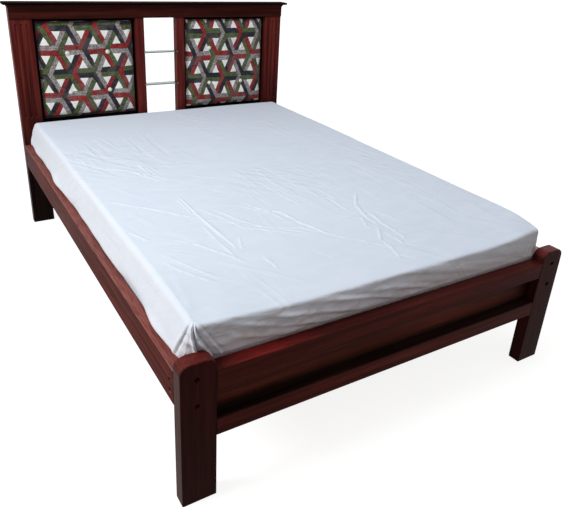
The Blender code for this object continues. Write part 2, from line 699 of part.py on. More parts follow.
def mattress_profile():
    """(inset from the full outline, height) from under the mattress, up its side, to its middle."""
    r = MATTRESS_EDGE_RADIUS
    top = MATTRESS_THICKNESS
    swell = RAIL_TOP - MATTRESS_BOTTOM
    points = [(r, 0), (0.30 * r, 0.30 * r), (0, 0.7 * r), (-0.1 * MATTRESS_BULGE, swell - 0.004)]
    points.append((-MATTRESS_BULGE, swell + 0.022))
    points.append((-MATTRESS_BULGE, top - 1.1 * r))
    for k in (1, 2, 3):
        a = math.pi / 2 * k / 3
        points.append((
            r * (1 - math.cos(a)) - MATTRESS_BULGE * (1 - k / 3),
            top - 1.0 * r * (1 - math.sin(a)) - 0.1 * r * (1 - k / 3),
        ))
    points.append((0.16, top + 0.55 * MATTRESS_CROWN))
    points.append((0.36, top + 0.9 * MATTRESS_CROWN))
    points.append((0.60, top + MATTRESS_CROWN))
    return points


def pushed_out(profile, distance):
    """The same profile moved outward by a distance, square to itself."""
    moved = []
    for k, point in enumerate(profile):
        before = Vector(profile[max(k - 1, 0)])
        after = Vector(profile[min(k + 1, len(profile) - 1)])
        along = (after - before).normalized()
        if k > 0 and k < len(profile) - 1:
            first = (Vector(point) - before).normalized()
            second = (after - Vector(point)).normalized()
            along = (first + second).normalized()
            stretch = 1 / max(first.dot(along), 0.5)
        else:
            stretch = 1
        normal = Vector((-along.y, along.x)) * -1
        moved.append(tuple(Vector(point) - normal * distance * stretch))
    return moved


def ring_of(bm, inset, height):
    half_x = MATTRESS_WIDTH / 2 - inset
    half_y = MATTRESS_LENGTH / 2 - inset
    radius = max(MATTRESS_CORNER_RADIUS - 0.5 * inset, 0.02)
    verts = [
        bm.verts.new((x, y, height))
        for x, y in rounded_outline(half_x, half_y, radius, 5, 5)
    ]
    return [bm.edges.new(pair) for pair in zip(verts, verts[1:] + verts[:1])]


def skin(bm, profile):
    rings = [ring_of(bm, inset, height) for inset, height in profile]
    for first, second in zip(rings, rings[1:]):
        bmesh.ops.bridge_loops(bm, edges=first + second)
    bmesh.ops.contextual_create(bm, geom=rings[-1])
    return rings


def mattress_and_sheet():
    """A foam mattress, and a cotton sheet drawn over it and folded under all round."""
    middle_y = FOOT_BACK_Y + FOOT_GAP + MATTRESS_LENGTH / 2
    place = (0, middle_y, MATTRESS_BOTTOM)
    profile = mattress_profile()
    bm = bmesh.new()
    rings = skin(bm, profile)
    bmesh.ops.contextual_create(bm, geom=rings[0])
    add_piece("mattress", bm, TICKING, place, MATTRESS_LIFT, smooth=True)

    tucked = [(SHEET_TUCK, 0)] + profile
    bm = bmesh.new()
    inner = skin(bm, pushed_out(tucked, FIT))
    outer = skin(bm, pushed_out(tucked, FIT + SHEET_THICKNESS))
    bmesh.ops.bridge_loops(bm, edges=inner[0] + outer[0])
    add_piece("bed_sheet", bm, SHEET, place, MATTRESS_LIFT, smooth=True)


FOOT_POSTS = foot_posts()
foot_end(FOOT_POSTS)
RAILS = side_rails()
slat_base()
HEADBOARD = headboard()
headboard_top()
pads(HEADBOARD)
glass_shelves(HEADBOARD)
corner_fixings(FOOT_POSTS, RAILS, HEADBOARD)
mattress_and_sheet()
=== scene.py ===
import math

import bmesh
import bpy
import numpy as np
from mathutils import Matrix, Vector, noise


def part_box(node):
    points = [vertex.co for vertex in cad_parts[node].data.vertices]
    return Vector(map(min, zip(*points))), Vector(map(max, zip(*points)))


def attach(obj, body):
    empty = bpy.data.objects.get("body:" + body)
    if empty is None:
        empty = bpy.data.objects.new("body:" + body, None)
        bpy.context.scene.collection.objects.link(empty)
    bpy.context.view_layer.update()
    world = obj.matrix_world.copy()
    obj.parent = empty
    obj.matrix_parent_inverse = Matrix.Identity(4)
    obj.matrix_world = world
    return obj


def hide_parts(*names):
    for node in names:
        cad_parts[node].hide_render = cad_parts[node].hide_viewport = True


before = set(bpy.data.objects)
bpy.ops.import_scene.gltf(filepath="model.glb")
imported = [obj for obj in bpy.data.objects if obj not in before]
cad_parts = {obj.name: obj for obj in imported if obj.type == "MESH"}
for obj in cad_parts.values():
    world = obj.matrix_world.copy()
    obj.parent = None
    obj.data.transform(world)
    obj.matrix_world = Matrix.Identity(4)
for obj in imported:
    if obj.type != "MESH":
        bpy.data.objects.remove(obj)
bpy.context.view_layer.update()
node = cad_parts


# The camera stands off the left corner of the foot end at eye height and looks down the bed.
# Its lens, place and turn are those of the photograph's frame.
def set_up(item, **settings):
    """An item with its settings made."""
    for name, value in settings.items():
        setattr(item, name, value)
    return item


camera = bpy.data.objects.new("camera", bpy.data.cameras.new("camera"))
bpy.context.scene.collection.objects.link(camera)
camera.location = (-1.1511, -2.1226, 1.3861)
camera.rotation_euler = [math.radians(angle) for angle in (65.981, -2.878, -31.082)]
set_up(camera.data, lens=38.555, shift_x=-0.0033, shift_y=-0.0696, clip_end=100)
bpy.context.scene.camera = camera
bpy.context.scene.view_settings.view_transform = "Standard"


# The bed stands on a plain white studio floor that keeps a soft shadow of it.
# A window light comes from the left and a weak soft box hangs over the bed.
def paint(red, green, blue):
    """A colour as it reads on a screen, from 0 to 255, in the linear values that shaders take."""
    parts = []
    for level in (red, green, blue):
        level = level / 255
        parts.append(level / 12.92 if level < 0.04045 else ((level + 0.055) / 1.055) ** 2.4)
    return (*parts, 1.0)


def feed(tree, item, inputs):
    """A node's inputs, each given a constant or the output of another node."""
    for name, value in inputs.items():
        if isinstance(value, (int, float, tuple, list)):
            item.inputs[name].default_value = value
        else:
            tree.links.new(value, item.inputs[name])


def new_node(tree, kind, inputs=None, **settings):
    """A new shader node of a kind. Its settings are made before its inputs are fed."""
    item = set_up(tree.nodes.new(f"ShaderNode{kind}"), **settings)
    feed(tree, item, inputs or {})
    return item


def arithmetic(tree):
    """A short way to write sums as shader nodes."""

    def work(operation, *values):
        return new_node(tree, "Math", dict(enumerate(values)), operation=operation).outputs[0]

    return work


def seen_directly(tree):
    """1 where a ray comes from the camera, a reflection or through glass, and 0 where it carries light."""
    do = arithmetic(tree)
    ray = new_node(tree, "LightPath").outputs
    mirrored = do("MAXIMUM", ray["Is Camera Ray"], ray["Is Glossy Ray"])
    return do("MAXIMUM", mirrored, ray["Is Transmission Ray"])


def spread_to(tree, value, low, high, ends=(0.25, 0.75)):
    """A value spread from low to high as it runs from one end to the other."""
    span = {"From Min": ends[0], "From Max": ends[1], "To Min": low, "To Max": high}
    return new_node(tree, "MapRange", {"Value": value, **span}).outputs["Result"]


def tinted(tree, kind, amount, under, over):
    """One colour laid over another. Each is a colour or the output of a node."""
    colours = {0: amount, 6: under, 7: over}
    return new_node(tree, "Mix", colours, data_type="RGBA", blend_type=kind).outputs[2]


def own_place(tree):
    """Where a point lies on its own piece, which is also its place on the bed."""
    return new_node(tree, "TexCoord").outputs["Object"]


def put_in_scene(name, form, material):
    """A new piece from a bmesh, at the origin, smooth shaded, in one material."""
    mesh = bpy.data.meshes.new(name)
    form.to_mesh(mesh)
    form.free()
    mesh.materials.append(material)
    mesh.polygons.foreach_set("use_smooth", [True] * len(mesh.polygons))
    piece = bpy.data.objects.new(name, mesh)
    bpy.context.scene.collection.objects.link(piece)
    return piece


WHITE = (1, 1, 1, 1)
FLOOR_REACH = 30.0
FLOOR_DROP = 0.0005  # below the feet, so that no two faces share a plane
BOUNCE_TONE = (0.36, 0.33, 0.30, 1)  # as the floor lights the bed from below
FLOOR_TONE = (0.40, 0.40, 0.40, 1)  # as the floor is seen
FLOOR_GLOW = 0.84  # white added under the bed, where the shadow shows
SHADOW_ENDS = (1.4, 4.5)  # from the middle of the bed, where the floor starts and ends turning white
floor_paint = bpy.data.materials.new("floor_paint")
floor_paint.use_nodes = True
tree = floor_paint.node_tree
tree.nodes.remove(tree.nodes["Principled BSDF"])
do = arithmetic(tree)
seen = seen_directly(tree)
matt = new_node(tree, "BsdfDiffuse", {"Color": tinted(tree, "MIX", seen, BOUNCE_TONE, FLOOR_TONE)})
away = new_node(tree, "VectorMath", {0: own_place(tree)}, operation="LENGTH")
white_share = spread_to(tree, away.outputs["Value"], FLOOR_GLOW, 1.0, SHADOW_ENDS)
glow = new_node(tree, "Emission", {"Color": WHITE, "Strength": do("MULTIPLY", seen, white_share)})
both = new_node(tree, "AddShader", {0: matt.outputs[0], 1: glow.outputs[0]})
feed(tree, tree.nodes["Material Output"], {"Surface": both.outputs[0]})

form = bmesh.new()
bmesh.ops.create_grid(form, x_segments=1, y_segments=1, size=FLOOR_REACH)
bmesh.ops.translate(form, vec=(0, 0, -FLOOR_DROP), verts=form.verts)
floor = put_in_scene("floor", form, floor_paint)

world = bpy.data.worlds.new("studio")
bpy.context.scene.world = world
world.use_nodes = True
tree = world.node_tree
fill = tree.nodes["Background"]
feed(tree, fill, {"Color": (1.0, 0.965, 0.93, 1), "Strength": 0.40})
white = new_node(tree, "Background", {"Color": WHITE, "Strength": 1.0})
both = new_node(tree, "MixShader", {0: seen_directly(tree), 1: fill.outputs[0], 2: white.outputs[0]})
feed(tree, tree.nodes["World Output"], {"Surface": both.outputs[0]})


def soft_lamp(name, place, target, size, power, colour):
    """A square soft box that faces a point."""
    lamp = bpy.data.objects.new(name, bpy.data.lights.new(name, "AREA"))
    bpy.context.scene.collection.objects.link(lamp)
    lamp.location = place
    lamp.rotation_euler = (Vector(target) - Vector(place)).to_track_quat("-Z", "Y").to_euler()
    set_up(lamp.data, size=size, energy=power, color=colour)


soft_lamp(
    "window",
    place=(-3.1, -0.35, 2.7),
    target=(0, -0.2, 0.4),
    size=1.4,
    power=90,
    colour=(0.985, 0.99, 0.985),
)
soft_lamp(
    "ceiling",
    place=(0.2, -0.5, 2.75),
    target=(0.2, 0.2, 0.5),
    size=1.1,
    power=11,
    colour=(0.78, 0.91, 1.0),
)


# The foot end: two posts with rounded tops, a top rail and a lower rail tenoned into them,
# and a thin flat panel in grooves between. Red-brown stained hardwood under satin varnish.
def noise_layer(tree, place, scale, detail=4.0, distortion=0.0, roughness=0.5):
    """A noise value at a place, scaled differently along each axis."""
    spread = new_node(tree, "Mapping", {"Vector": place, "Scale": scale}).outputs["Vector"]
    grain = {"Scale": 1.0, "Detail": detail, "Roughness": roughness, "Distortion": distortion}
    return new_node(tree, "TexNoise", {"Vector": spread, **grain}).outputs["Fac"]


def colour_steps(tree, value, steps, blend="LINEAR"):
    """Colours laid out along a value, as (position, colour) pairs."""
    ramp = new_node(tree, "ValToRGB", {"Fac": value})
    ramp.color_ramp.interpolation = blend
    ramp.color_ramp.elements[0].position = steps[0][0]
    ramp.color_ramp.elements[0].color = steps[0][1]
    ramp.color_ramp.elements[1].position = steps[-1][0]
    ramp.color_ramp.elements[1].color = steps[-1][1]
    for position, colour in steps[1:-1]:
        ramp.color_ramp.elements.new(position).color = colour
    return ramp.outputs["Color"]


def raised(tree, shader, height, distance, strength):
    """A small relief on a surface."""
    bump = new_node(tree, "Bump", {"Height": height, "Distance": distance, "Strength": strength})
    feed(tree, shader, {"Normal": bump.outputs["Normal"]})


def new_finish(name):
    """A new material, its node tree and its shader."""
    material = bpy.data.materials.new(name)
    material.use_nodes = True
    return material, material.node_tree, material.node_tree.nodes["Principled BSDF"]


def parts_of(tree, vector):
    """The x, y and z of a vector."""
    return new_node(tree, "SeparateXYZ", {0: vector}).outputs


def facing(tree):
    """The x, y and z of the way that a surface faces."""
    return parts_of(tree, new_node(tree, "NewGeometry").outputs["Normal"])


def grain_scale(along, lengthwise, across):
    """The scales of a noise drawn out along one axis."""
    return [lengthwise if axis == along else across for axis in "xyz"]


def graded(tree, place, colour, axis, ends, tones):
    """A colour multiplied along one axis, by one tone and then another between two places."""
    share = spread_to(tree, parts_of(tree, place)[axis], 0.0, 1.0, ends)
    steps = [(position, (*tone, 1.0)) for position, tone in enumerate(tones)]
    return tinted(tree, "MULTIPLY", 1.0, colour, colour_steps(tree, share, steps))


def stained_wood(
    name,
    along,
    tones,
    gloss=(0.30, 0.46),
    shine=(0.02, 0.20),
    top_highlight=(0, 0, 0, 1),
    shades=(),
    top_highlight_shades=(),
):
    """Stained and varnished hardwood whose grain runs along one axis: streaks, pores and uneven gloss.
    Faces that look up take a painted highlight colour and more gloss; shades darken either colour along an
    axis."""
    material, tree, shader = new_finish(name)
    place = own_place(tree)
    streaks = noise_layer(tree, place, grain_scale(along, 2.6, 58), 6, 0.35)
    pores = noise_layer(tree, place, grain_scale(along, 14, 520), 2)
    patches = noise_layer(tree, place, grain_scale(along, 1.5, 6), 3)
    colour = colour_steps(tree, streaks, [(0.28, tones[0]), (0.50, tones[1]), (0.74, tones[2])])
    stain = colour_steps(tree, patches, [(0.35, (0.72, 0.66, 0.66, 1)), (0.65, WHITE)])
    colour = tinted(tree, "MULTIPLY", 0.8, colour, stain)
    dots = colour_steps(tree, pores, [(0.36, (0.55, 0.5, 0.5, 1)), (0.50, WHITE)])
    colour = tinted(tree, "MULTIPLY", 0.55, colour, dots)
    for axis, ends, levels in shades:
        colour = graded(tree, place, colour, axis, ends, levels)
    # Painted highlight: a colour added on faces that look up, as if light falls on them
    wear_and_top_highlight = colour_steps(tree, pores, [(0.30, (0, 0, 0, 1)), (0.55, top_highlight)])
    for axis, ends, levels in top_highlight_shades:
        wear_and_top_highlight = graded(tree, place, wear_and_top_highlight, axis, ends, levels)
    upward = facing(tree)["Z"]
    colour = tinted(tree, "ADD", spread_to(tree, upward, 0.0, 1.0), colour, wear_and_top_highlight)
    feed(tree, shader, {"Base Color": colour, "Roughness": spread_to(tree, patches, *gloss)})
    feed(tree, shader, {"Specular IOR Level": spread_to(tree, upward, *shine)})
    raised(tree, shader, pores, distance=0.0004, strength=0.25)
    return material


SAME_POINT = 0.00001  # points nearer than this are one
FLAT_ANGLE = math.radians(0.6)
SHARP_ANGLE = math.radians(40)


def dressed(names, material, arris=0.0):
    """CAD nodes in a finish, their edges eased by sanding where arris gives a radius."""
    for name in names:
        piece = node[name]
        for holder in piece.material_slots:
            holder.material = material
        if arris:
            weld, faces, edge = (piece.modifiers.new(kind, kind) for kind in ("WELD", "DECIMATE", "BEVEL"))
            set_up(weld, merge_threshold=SAME_POINT)
            set_up(faces, decimate_type="DISSOLVE", angle_limit=FLAT_ANGLE)
            set_up(edge, limit_method="ANGLE", angle_limit=SHARP_ANGLE, harden_normals=True)
            set_up(edge, width=arris, segments=2, profile=0.5)


FULL = (1.0, 1.0, 1.0)
RED_TONES = (paint(54, 22, 18), paint(82, 33, 27), paint(110, 47, 39))
DARK_TONES = (paint(44, 18, 15), paint(62, 26, 22), paint(84, 36, 30))
# Painted shade darkens the legs towards the floor, and their tops take a painted highlight
post_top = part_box("foot_post_left")[1].z
leg_painted_shade = [("Z", (0.10, post_top), ((0.75, 0.75, 0.75), FULL))]
leg_wood = stained_wood(
    "mahogany_leg",
    "z",
    DARK_TONES,
    shine=(0.02, 0.08),
    top_highlight=paint(84, 24, 22),
    shades=leg_painted_shade,
)
dressed(["foot_post_left", "foot_post_right"], leg_wood, arris=0.0022)
TOP_TONES = (paint(66, 29, 25), paint(86, 37, 32), paint(110, 47, 40))
# Painted shade darkens the top rail along both its edges, and it is redder to the right; a painted red
# highlight lights its top near the left
rail_base, rail_top = (corner.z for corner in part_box("foot_top_rail"))
top_painted_shade_and_tone = [
    ("Z", (rail_base, rail_base + 0.019), ((0.62, 0.82, 0.82), FULL)),
    ("Z", (rail_top - 0.007, rail_top), (FULL, (0.64, 0.60, 0.62))),
    ("X", (0.10, 0.60), (FULL, (1.0, 0.80, 0.80))),
]
# Where the painted red highlight on top of the rail reaches, near its left end
top_highlight_reach = [
    ("X", (-0.61, -0.50), ((0.15, 0.15, 0.15), FULL)),
    ("X", (-0.46, -0.29), (FULL, (0.05, 0.05, 0.05))),
]
top_wood = stained_wood(
    "mahogany_foot_top",
    "x",
    TOP_TONES,
    shine=(0.02, 0.06),
    top_highlight=paint(106, 20, 21),
    shades=top_painted_shade_and_tone,
    top_highlight_shades=top_highlight_reach,
)
dressed(["foot_top_rail"], top_wood, arris=0.0030)
# Painted shade darkens the lower rail's top edge and the recess over it
lower_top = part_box("foot_lower_rail")[1].z
lower_painted_shade = [("Z", (lower_top - 0.0055, lower_top - 0.0005), (FULL, (0.26, 0.60, 0.66)))]
lower_wood = stained_wood("mahogany_foot_lower", "x", RED_TONES, shine=(0.02, 0.05), shades=lower_painted_shade)
dressed(["foot_lower_rail"], lower_wood, arris=0.0018)
PANEL_TONES = (paint(72, 36, 29), paint(92, 46, 37), paint(114, 57, 47))
# Painted shade on the panel: dark along its bottom and at its right end
panel_painted_shade = [
    ("Z", (lower_top + 0.003, lower_top + 0.027), ((0.13, 0.40, 0.46), FULL)),
    ("X", (0.45, 0.64), (FULL, (0.15, 0.15, 0.15))),
]
panel_wood = stained_wood("mahogany_panel", "x", PANEL_TONES, shades=panel_painted_shade)
dressed(["foot_panel"], panel_wood)


# Two side rails of the same hardwood, butted to the posts and flush with their outer faces.
# Each is bolted to a steel angle in the corner at either end, and its top takes a paler painted highlight.
long_wood = stained_wood("mahogany_along", "y", RED_TONES, shine=(0.004, 0.15), top_highlight=paint(122, 73, 67))
dressed(["side_rail_left", "side_rail_right"], long_wood, arris=0.0020)


# The slat base: a softwood ledger inside each side rail and seven loose slats across them.
# Planed and left bare, so the pale growth rings show.
def bare_softwood(name, along):
    """Planed softwood with soft growth rings and a few darker resin streaks."""
    material, tree, shader = new_finish(name)
    place = own_place(tree)
    rings = noise_layer(tree, place, grain_scale(along, 1.4, 30), 5, 0.9)
    fibres = noise_layer(tree, place, grain_scale(along, 20, 600), 2)
    steps = [(0.35, paint(186, 146, 96)), (0.50, paint(212, 178, 128)), (0.68, paint(226, 199, 156))]
    colour = colour_steps(tree, rings, steps)
    grey = colour_steps(tree, fibres, [(0.35, (0.78, 0.74, 0.7, 1)), (0.55, WHITE)])
    colour = tinted(tree, "MULTIPLY", 0.6, colour, grey)
    feed(tree, shader, {"Base Color": colour, "Roughness": spread_to(tree, rings, 0.6, 0.75)})
    raised(tree, shader, fibres, distance=0.0004, strength=0.3)
    return material


dressed(["slat_ledger_left", "slat_ledger_right"], bare_softwood("softwood_along", "y"), arris=0.0012)
dressed([f"slat_{number}" for number in range(1, 8)], bare_softwood("softwood_across", "x"), arris=0.0015)


# The headboard frame: fluted posts, a deep top rail laid over them, a lower rail behind the
# mattress, and two mullions that part the pads from the open niche in the middle.
HEAD_TONES = (paint(66, 25, 23), paint(100, 40, 36), paint(130, 57, 50))
# Painted shade turns the head posts almost black down beside the mattress
head_painted_shade = [("Z", (0.22, 0.80), ((0.09, 0.27, 0.31), FULL))]
head_leg_wood = stained_wood("mahogany_head_leg", "z", HEAD_TONES, shades=head_painted_shade)
dressed(["head_post_left", "head_post_right"], head_leg_wood, arris=0.0012)
dressed(["mullion_left", "mullion_right"], stained_wood("mahogany_upright", "z", HEAD_TONES), arris=0.0015)
head_wood = stained_wood("mahogany_head_rail", "x", DARK_TONES)
dressed(["head_top_rail", "head_lower_rail"], head_wood, arris=0.0020)


# The cap board, stained almost black, and the small red cove moulding under it.
# Both run along the front of the headboard's top and return round its ends.
CAP_TONES = (paint(16, 8, 8), paint(25, 11, 10), paint(38, 15, 14))
cap_wood = stained_wood("dark_mahogany", "x", CAP_TONES, gloss=(0.6, 0.75), shine=(0.005, 0.02))
dressed(["head_cap"], cap_wood, arris=0.0020)
dressed(["cap_cove"], head_wood)


# A plywood board behind each pad, dropped into a rebate from the back.
# It is painted nearly black as shade, so the gap round the pad reads as a dark line.
BOARD_SHADE_TONES = (paint(14, 8, 7), paint(20, 10, 9), paint(30, 14, 12))
board_shade_wood = stained_wood("plywood_stain", "z", BOARD_SHADE_TONES, gloss=(0.6, 0.75), shine=(0.01, 0.05))
dressed(["pad_board_left", "pad_board_right"], board_shade_wood, arris=0.0006)


# The pads: foam and a printed cloth drawn round a board, pulled in at four buttons each.
# The print is a lattice of interlocked two-colour bars on cream; the right pad is cut upside down.
TRIANGLE_HEIGHT = 0.8660  # of a triangle whose sides are 1
BAR_WIDTH = 0.185  # one colour of a double bar, as a share of the lattice's pitch
OFF_BAR = 4.0  # added to a reach to put it past every bar
THREADS = 5200.0  # waves of the weave to a metre, in radians
INKS = [
    paint(182, 174, 172),
    paint(172, 46, 48),
    paint(96, 112, 68),
    paint(42, 42, 54),
    paint(255, 254, 250),
]


def on_cloth(tree):
    """Where a point lies on its cloth laid flat."""
    return new_node(tree, "UVMap", uv_map="cloth").outputs["UV"]


def lattice_print(name, start, across, up, turn):
    """Printed upholstery cloth: three families of double bars, each knot's three arms on top of the rest.
    The lattice starts from a knot at start and repeats by across and up."""
    material, tree, shader = new_finish(name)
    do = arithmetic(tree)
    flat = on_cloth(tree)
    axes = parts_of(tree, flat)
    wobble = new_node(tree, "TexNoise", {"Vector": flat, "Scale": 40}).outputs["Fac"]
    drift = do("MULTIPLY", do("SUBTRACT", wobble, 0.5), 0.006)
    x = do("MULTIPLY", do("SUBTRACT", do("ADD", axes["X"], drift), start[0]), turn / across)
    row = do("MULTIPLY", do("SUBTRACT", do("ADD", axes["Y"], drift), start[1]), turn / up)
    height = do("MULTIPLY", row, TRIANGLE_HEIGHT)
    column = do("SUBTRACT", x, do("MULTIPLY", row, 0.5))
    both = do("ADD", column, row)

    def arm(line_value, along, owner_column, owner_row, over, under):
        """One family of bars: how far along an arm a point is, and its colour number."""
        line = do("ROUND", line_value)
        side = do("MULTIPLY", do("SUBTRACT", line_value, line), TRIANGLE_HEIGHT)
        reach, knot = along(line)
        odd_column = do("FLOORED_MODULO", owner_column(line, knot), 2.0)
        odd_row = do("FLOORED_MODULO", owner_row(line, knot), 2.0)
        numbers = {
            "up": do("ADD", odd_column, do("MULTIPLY", odd_row, 2.0)),
            "down": do("ADD", do("SUBTRACT", 1.0, odd_column), do("MULTIPLY", odd_row, 2.0)),
            "right": do("ADD", odd_column, do("MULTIPLY", do("SUBTRACT", 1.0, odd_row), 2.0)),
        }
        first = do("GREATER_THAN", side, 0.0)
        number = do(
            "ADD",
            do("MULTIPLY", first, numbers[over]),
            do("MULTIPLY", do("SUBTRACT", 1.0, first), numbers[under]),
        )
        width = do("ABSOLUTE", side)
        outside = do("GREATER_THAN", width, BAR_WIDTH)
        seam = do("MINIMUM", width, do("ABSOLUTE", do("SUBTRACT", width, BAR_WIDTH)))
        return do("ADD", reach, do("MULTIPLY", outside, OFF_BAR)), number, seam

    def level(line):
        """How far along a level bar a point is, and the number of its knot."""
        run = do("SUBTRACT", x, do("MULTIPLY", line, 0.5))
        knot = do("CEIL", run)
        return do("SUBTRACT", knot, run), knot

    def slanted(line, slope):
        """The same along a slanted bar."""
        rise = do("MULTIPLY", height, TRIANGLE_HEIGHT * slope)
        run = do("ADD", do("MULTIPLY", do("SUBTRACT", x, line), 0.5), rise)
        knot = do("FLOOR", run)
        return do("SUBTRACT", run, knot), knot

    def rising(line):
        return slanted(line, 1.0)

    def falling(line):
        return slanted(line, -1.0)

    arms = [
        arm(row, level, lambda line, knot: knot, lambda line, knot: line, "up", "down"),
        arm(column, rising, lambda line, knot: line, lambda line, knot: knot, "right", "up"),
        arm(
            both,
            falling,
            lambda line, knot: do("ADD", line, knot),
            lambda line, knot: do("MULTIPLY", knot, -1.0),
            "right",
            "down",
        ),
    ]
    nearest = do("MINIMUM", do("MINIMUM", arms[0][0], arms[1][0]), arms[2][0])
    bare = do("GREATER_THAN", nearest, OFF_BAR / 2)
    number = do("MULTIPLY", bare, len(INKS) - 1)
    seam = bare
    for reach, colour, gap in arms:
        on_top = do("LESS_THAN", reach, do("ADD", nearest, 0.00001))
        on_top = do("MULTIPLY", on_top, do("SUBTRACT", 1.0, bare))
        number = do("ADD", number, do("MULTIPLY", on_top, colour))
        seam = do("ADD", seam, do("MULTIPLY", on_top, gap))
    steps = [(place / len(INKS), ink) for place, ink in enumerate(INKS)]
    colour = colour_steps(tree, do("DIVIDE", do("ADD", number, 0.5), len(INKS)), steps, "CONSTANT")
    # Bars are darker at their edges and have lines of thread along them
    on_bar = do("LESS_THAN", seam, 0.5)
    edge_steps = [(0.0, (0.30, 0.27, 0.27, 1)), (0.45, WHITE)]
    edge = colour_steps(tree, do("MULTIPLY", seam, 20.0), edge_steps)
    colour = tinted(tree, "MULTIPLY", 0.8, colour, edge)
    thread = do("MULTIPLY", do("COSINE", do("MULTIPLY", seam, 120.0)), on_bar)
    thread = do("ADD", do("MULTIPLY", thread, 0.5), 0.5)
    lines = colour_steps(tree, thread, [(0.05, (0.60, 0.57, 0.57, 1)), (0.5, WHITE)])
    colour = tinted(tree, "MULTIPLY", 1.0, colour, lines)
    # Mixed yarn gives flecks and cloudy patches, and some places are rubbed dull
    heather = noise_layer(tree, flat, (130, 130, 130), 6, 0.0, 0.7)
    fleck_steps = [(0.38, (0.26, 0.26, 0.27, 1)), (0.50, WHITE), (0.64, (1.6, 1.6, 1.6, 1))]
    flecks = colour_steps(tree, heather, fleck_steps)
    colour = tinted(tree, "MULTIPLY", do("MULTIPLY", on_bar, 0.85), colour, flecks)
    cloudy = noise_layer(tree, flat, (45, 45, 45), 3)
    cloud = colour_steps(tree, cloudy, [(0.35, (0.55, 0.55, 0.55, 1)), (0.6, WHITE)])
    colour = tinted(tree, "MULTIPLY", do("MULTIPLY", do("ADD", on_bar, 0.5), 0.55), colour, cloud)
    wear_and_top_highlight = noise_layer(tree, flat, (16, 16, 16), 2)
    dusty = colour_steps(tree, heather, [(0.35, paint(92, 84, 82)), (0.65, paint(132, 122, 118))])
    faded = do("MULTIPLY", do("MAXIMUM", do("SUBTRACT", wear_and_top_highlight, 0.49), 0.0), 2.6)
    colour = tinted(tree, "MIX", do("MULTIPLY", on_bar, do("MINIMUM", faded, 0.30)), colour, dusty)
    feed(tree, shader, {"Base Color": colour, "Roughness": 0.85})
    feed(tree, shader, {"Specular IOR Level": 0.25, "Sheen Weight": 0.15})
    warp = do("SINE", do("MULTIPLY", axes["X"], THREADS))
    weft = do("SINE", do("MULTIPLY", axes["Y"], THREADS))
    raised(tree, shader, do("ADD", do("MULTIPLY", warp, weft), heather), distance=0.0004, strength=0.5)
    return material


PAD_FINENESS = 0.005
PAD_DRAW_IN = (0.983, 0.90, 0.983)  # the foam before its cloth swells
PAD_SWELL = 0.006  # as far as the cloth may move
SWELL_STEPS = 20
TACK_DEPTH = 0.006  # cloth held flat against the board
BUTTON_HOLD = 0.010  # radius held down under a button
EDGE_TURN = (0.445, 0.05)  # where the face starts to turn back, and over what share of the pad
EDGE_CLEAR = 0.004
EDGE_FALL = 0.75  # share of the pad's depth that its edge turns back by
FACE_DEPTH = 0.016  # past this the cloth runs down the side of the pad


def swollen(form, held, limit, name):
    """A padded form remeshed, blown up a little as cloth over foam, and capped, except where it is held."""
    mesh = bpy.data.meshes.new(name)
    form.to_mesh(mesh)
    form.free()
    piece = bpy.data.objects.new(name, mesh)
    bpy.context.scene.collection.objects.link(piece)
    set_up(piece.modifiers.new("remesh", "REMESH"), mode="VOXEL", voxel_size=PAD_FINENESS)
    graph = bpy.context.evaluated_depsgraph_get()
    even = bpy.data.meshes.new_from_object(piece.evaluated_get(graph))
    piece.modifiers.clear()
    piece.data = even
    bpy.data.meshes.remove(mesh)
    start = np.array([vertex.co for vertex in even.vertices])
    pinned = piece.vertex_groups.new(name="held")
    for index in np.nonzero(held(start))[0]:
        pinned.add([int(index)], 1.0, "REPLACE")
    cloth = piece.modifiers.new("cloth", "CLOTH")
    set_up(cloth.settings, quality=5, mass=0.3, tension_stiffness=12, compression_stiffness=12)
    set_up(cloth.settings, shear_stiffness=5, bending_stiffness=0.4)
    set_up(cloth.settings, use_pressure=True, uniform_pressure_force=4.0, vertex_group_mass="held")
    set_up(cloth.settings.effector_weights, gravity=0)
    set_up(cloth.collision_settings, use_collision=False, use_self_collision=False)
    set_up(cloth.point_cache, frame_start=1, frame_end=SWELL_STEPS)
    for step in range(1, SWELL_STEPS + 1):
        bpy.context.scene.frame_set(step)
    graph = bpy.context.evaluated_depsgraph_get()
    blown = piece.evaluated_get(graph).to_mesh()
    end = np.array([vertex.co for vertex in blown.vertices])
    piece.evaluated_get(graph).to_mesh_clear()
    piece.modifiers.clear()
    piece.vertex_groups.clear()
    bpy.context.scene.frame_set(1)
    move = end - start
    far = np.linalg.norm(move, axis=1)[:, None]
    move = move * np.minimum(1.0, limit / np.maximum(far, 1e-9))
    even.vertices.foreach_set("co", (start + move).ravel())
    even.update()
    return piece


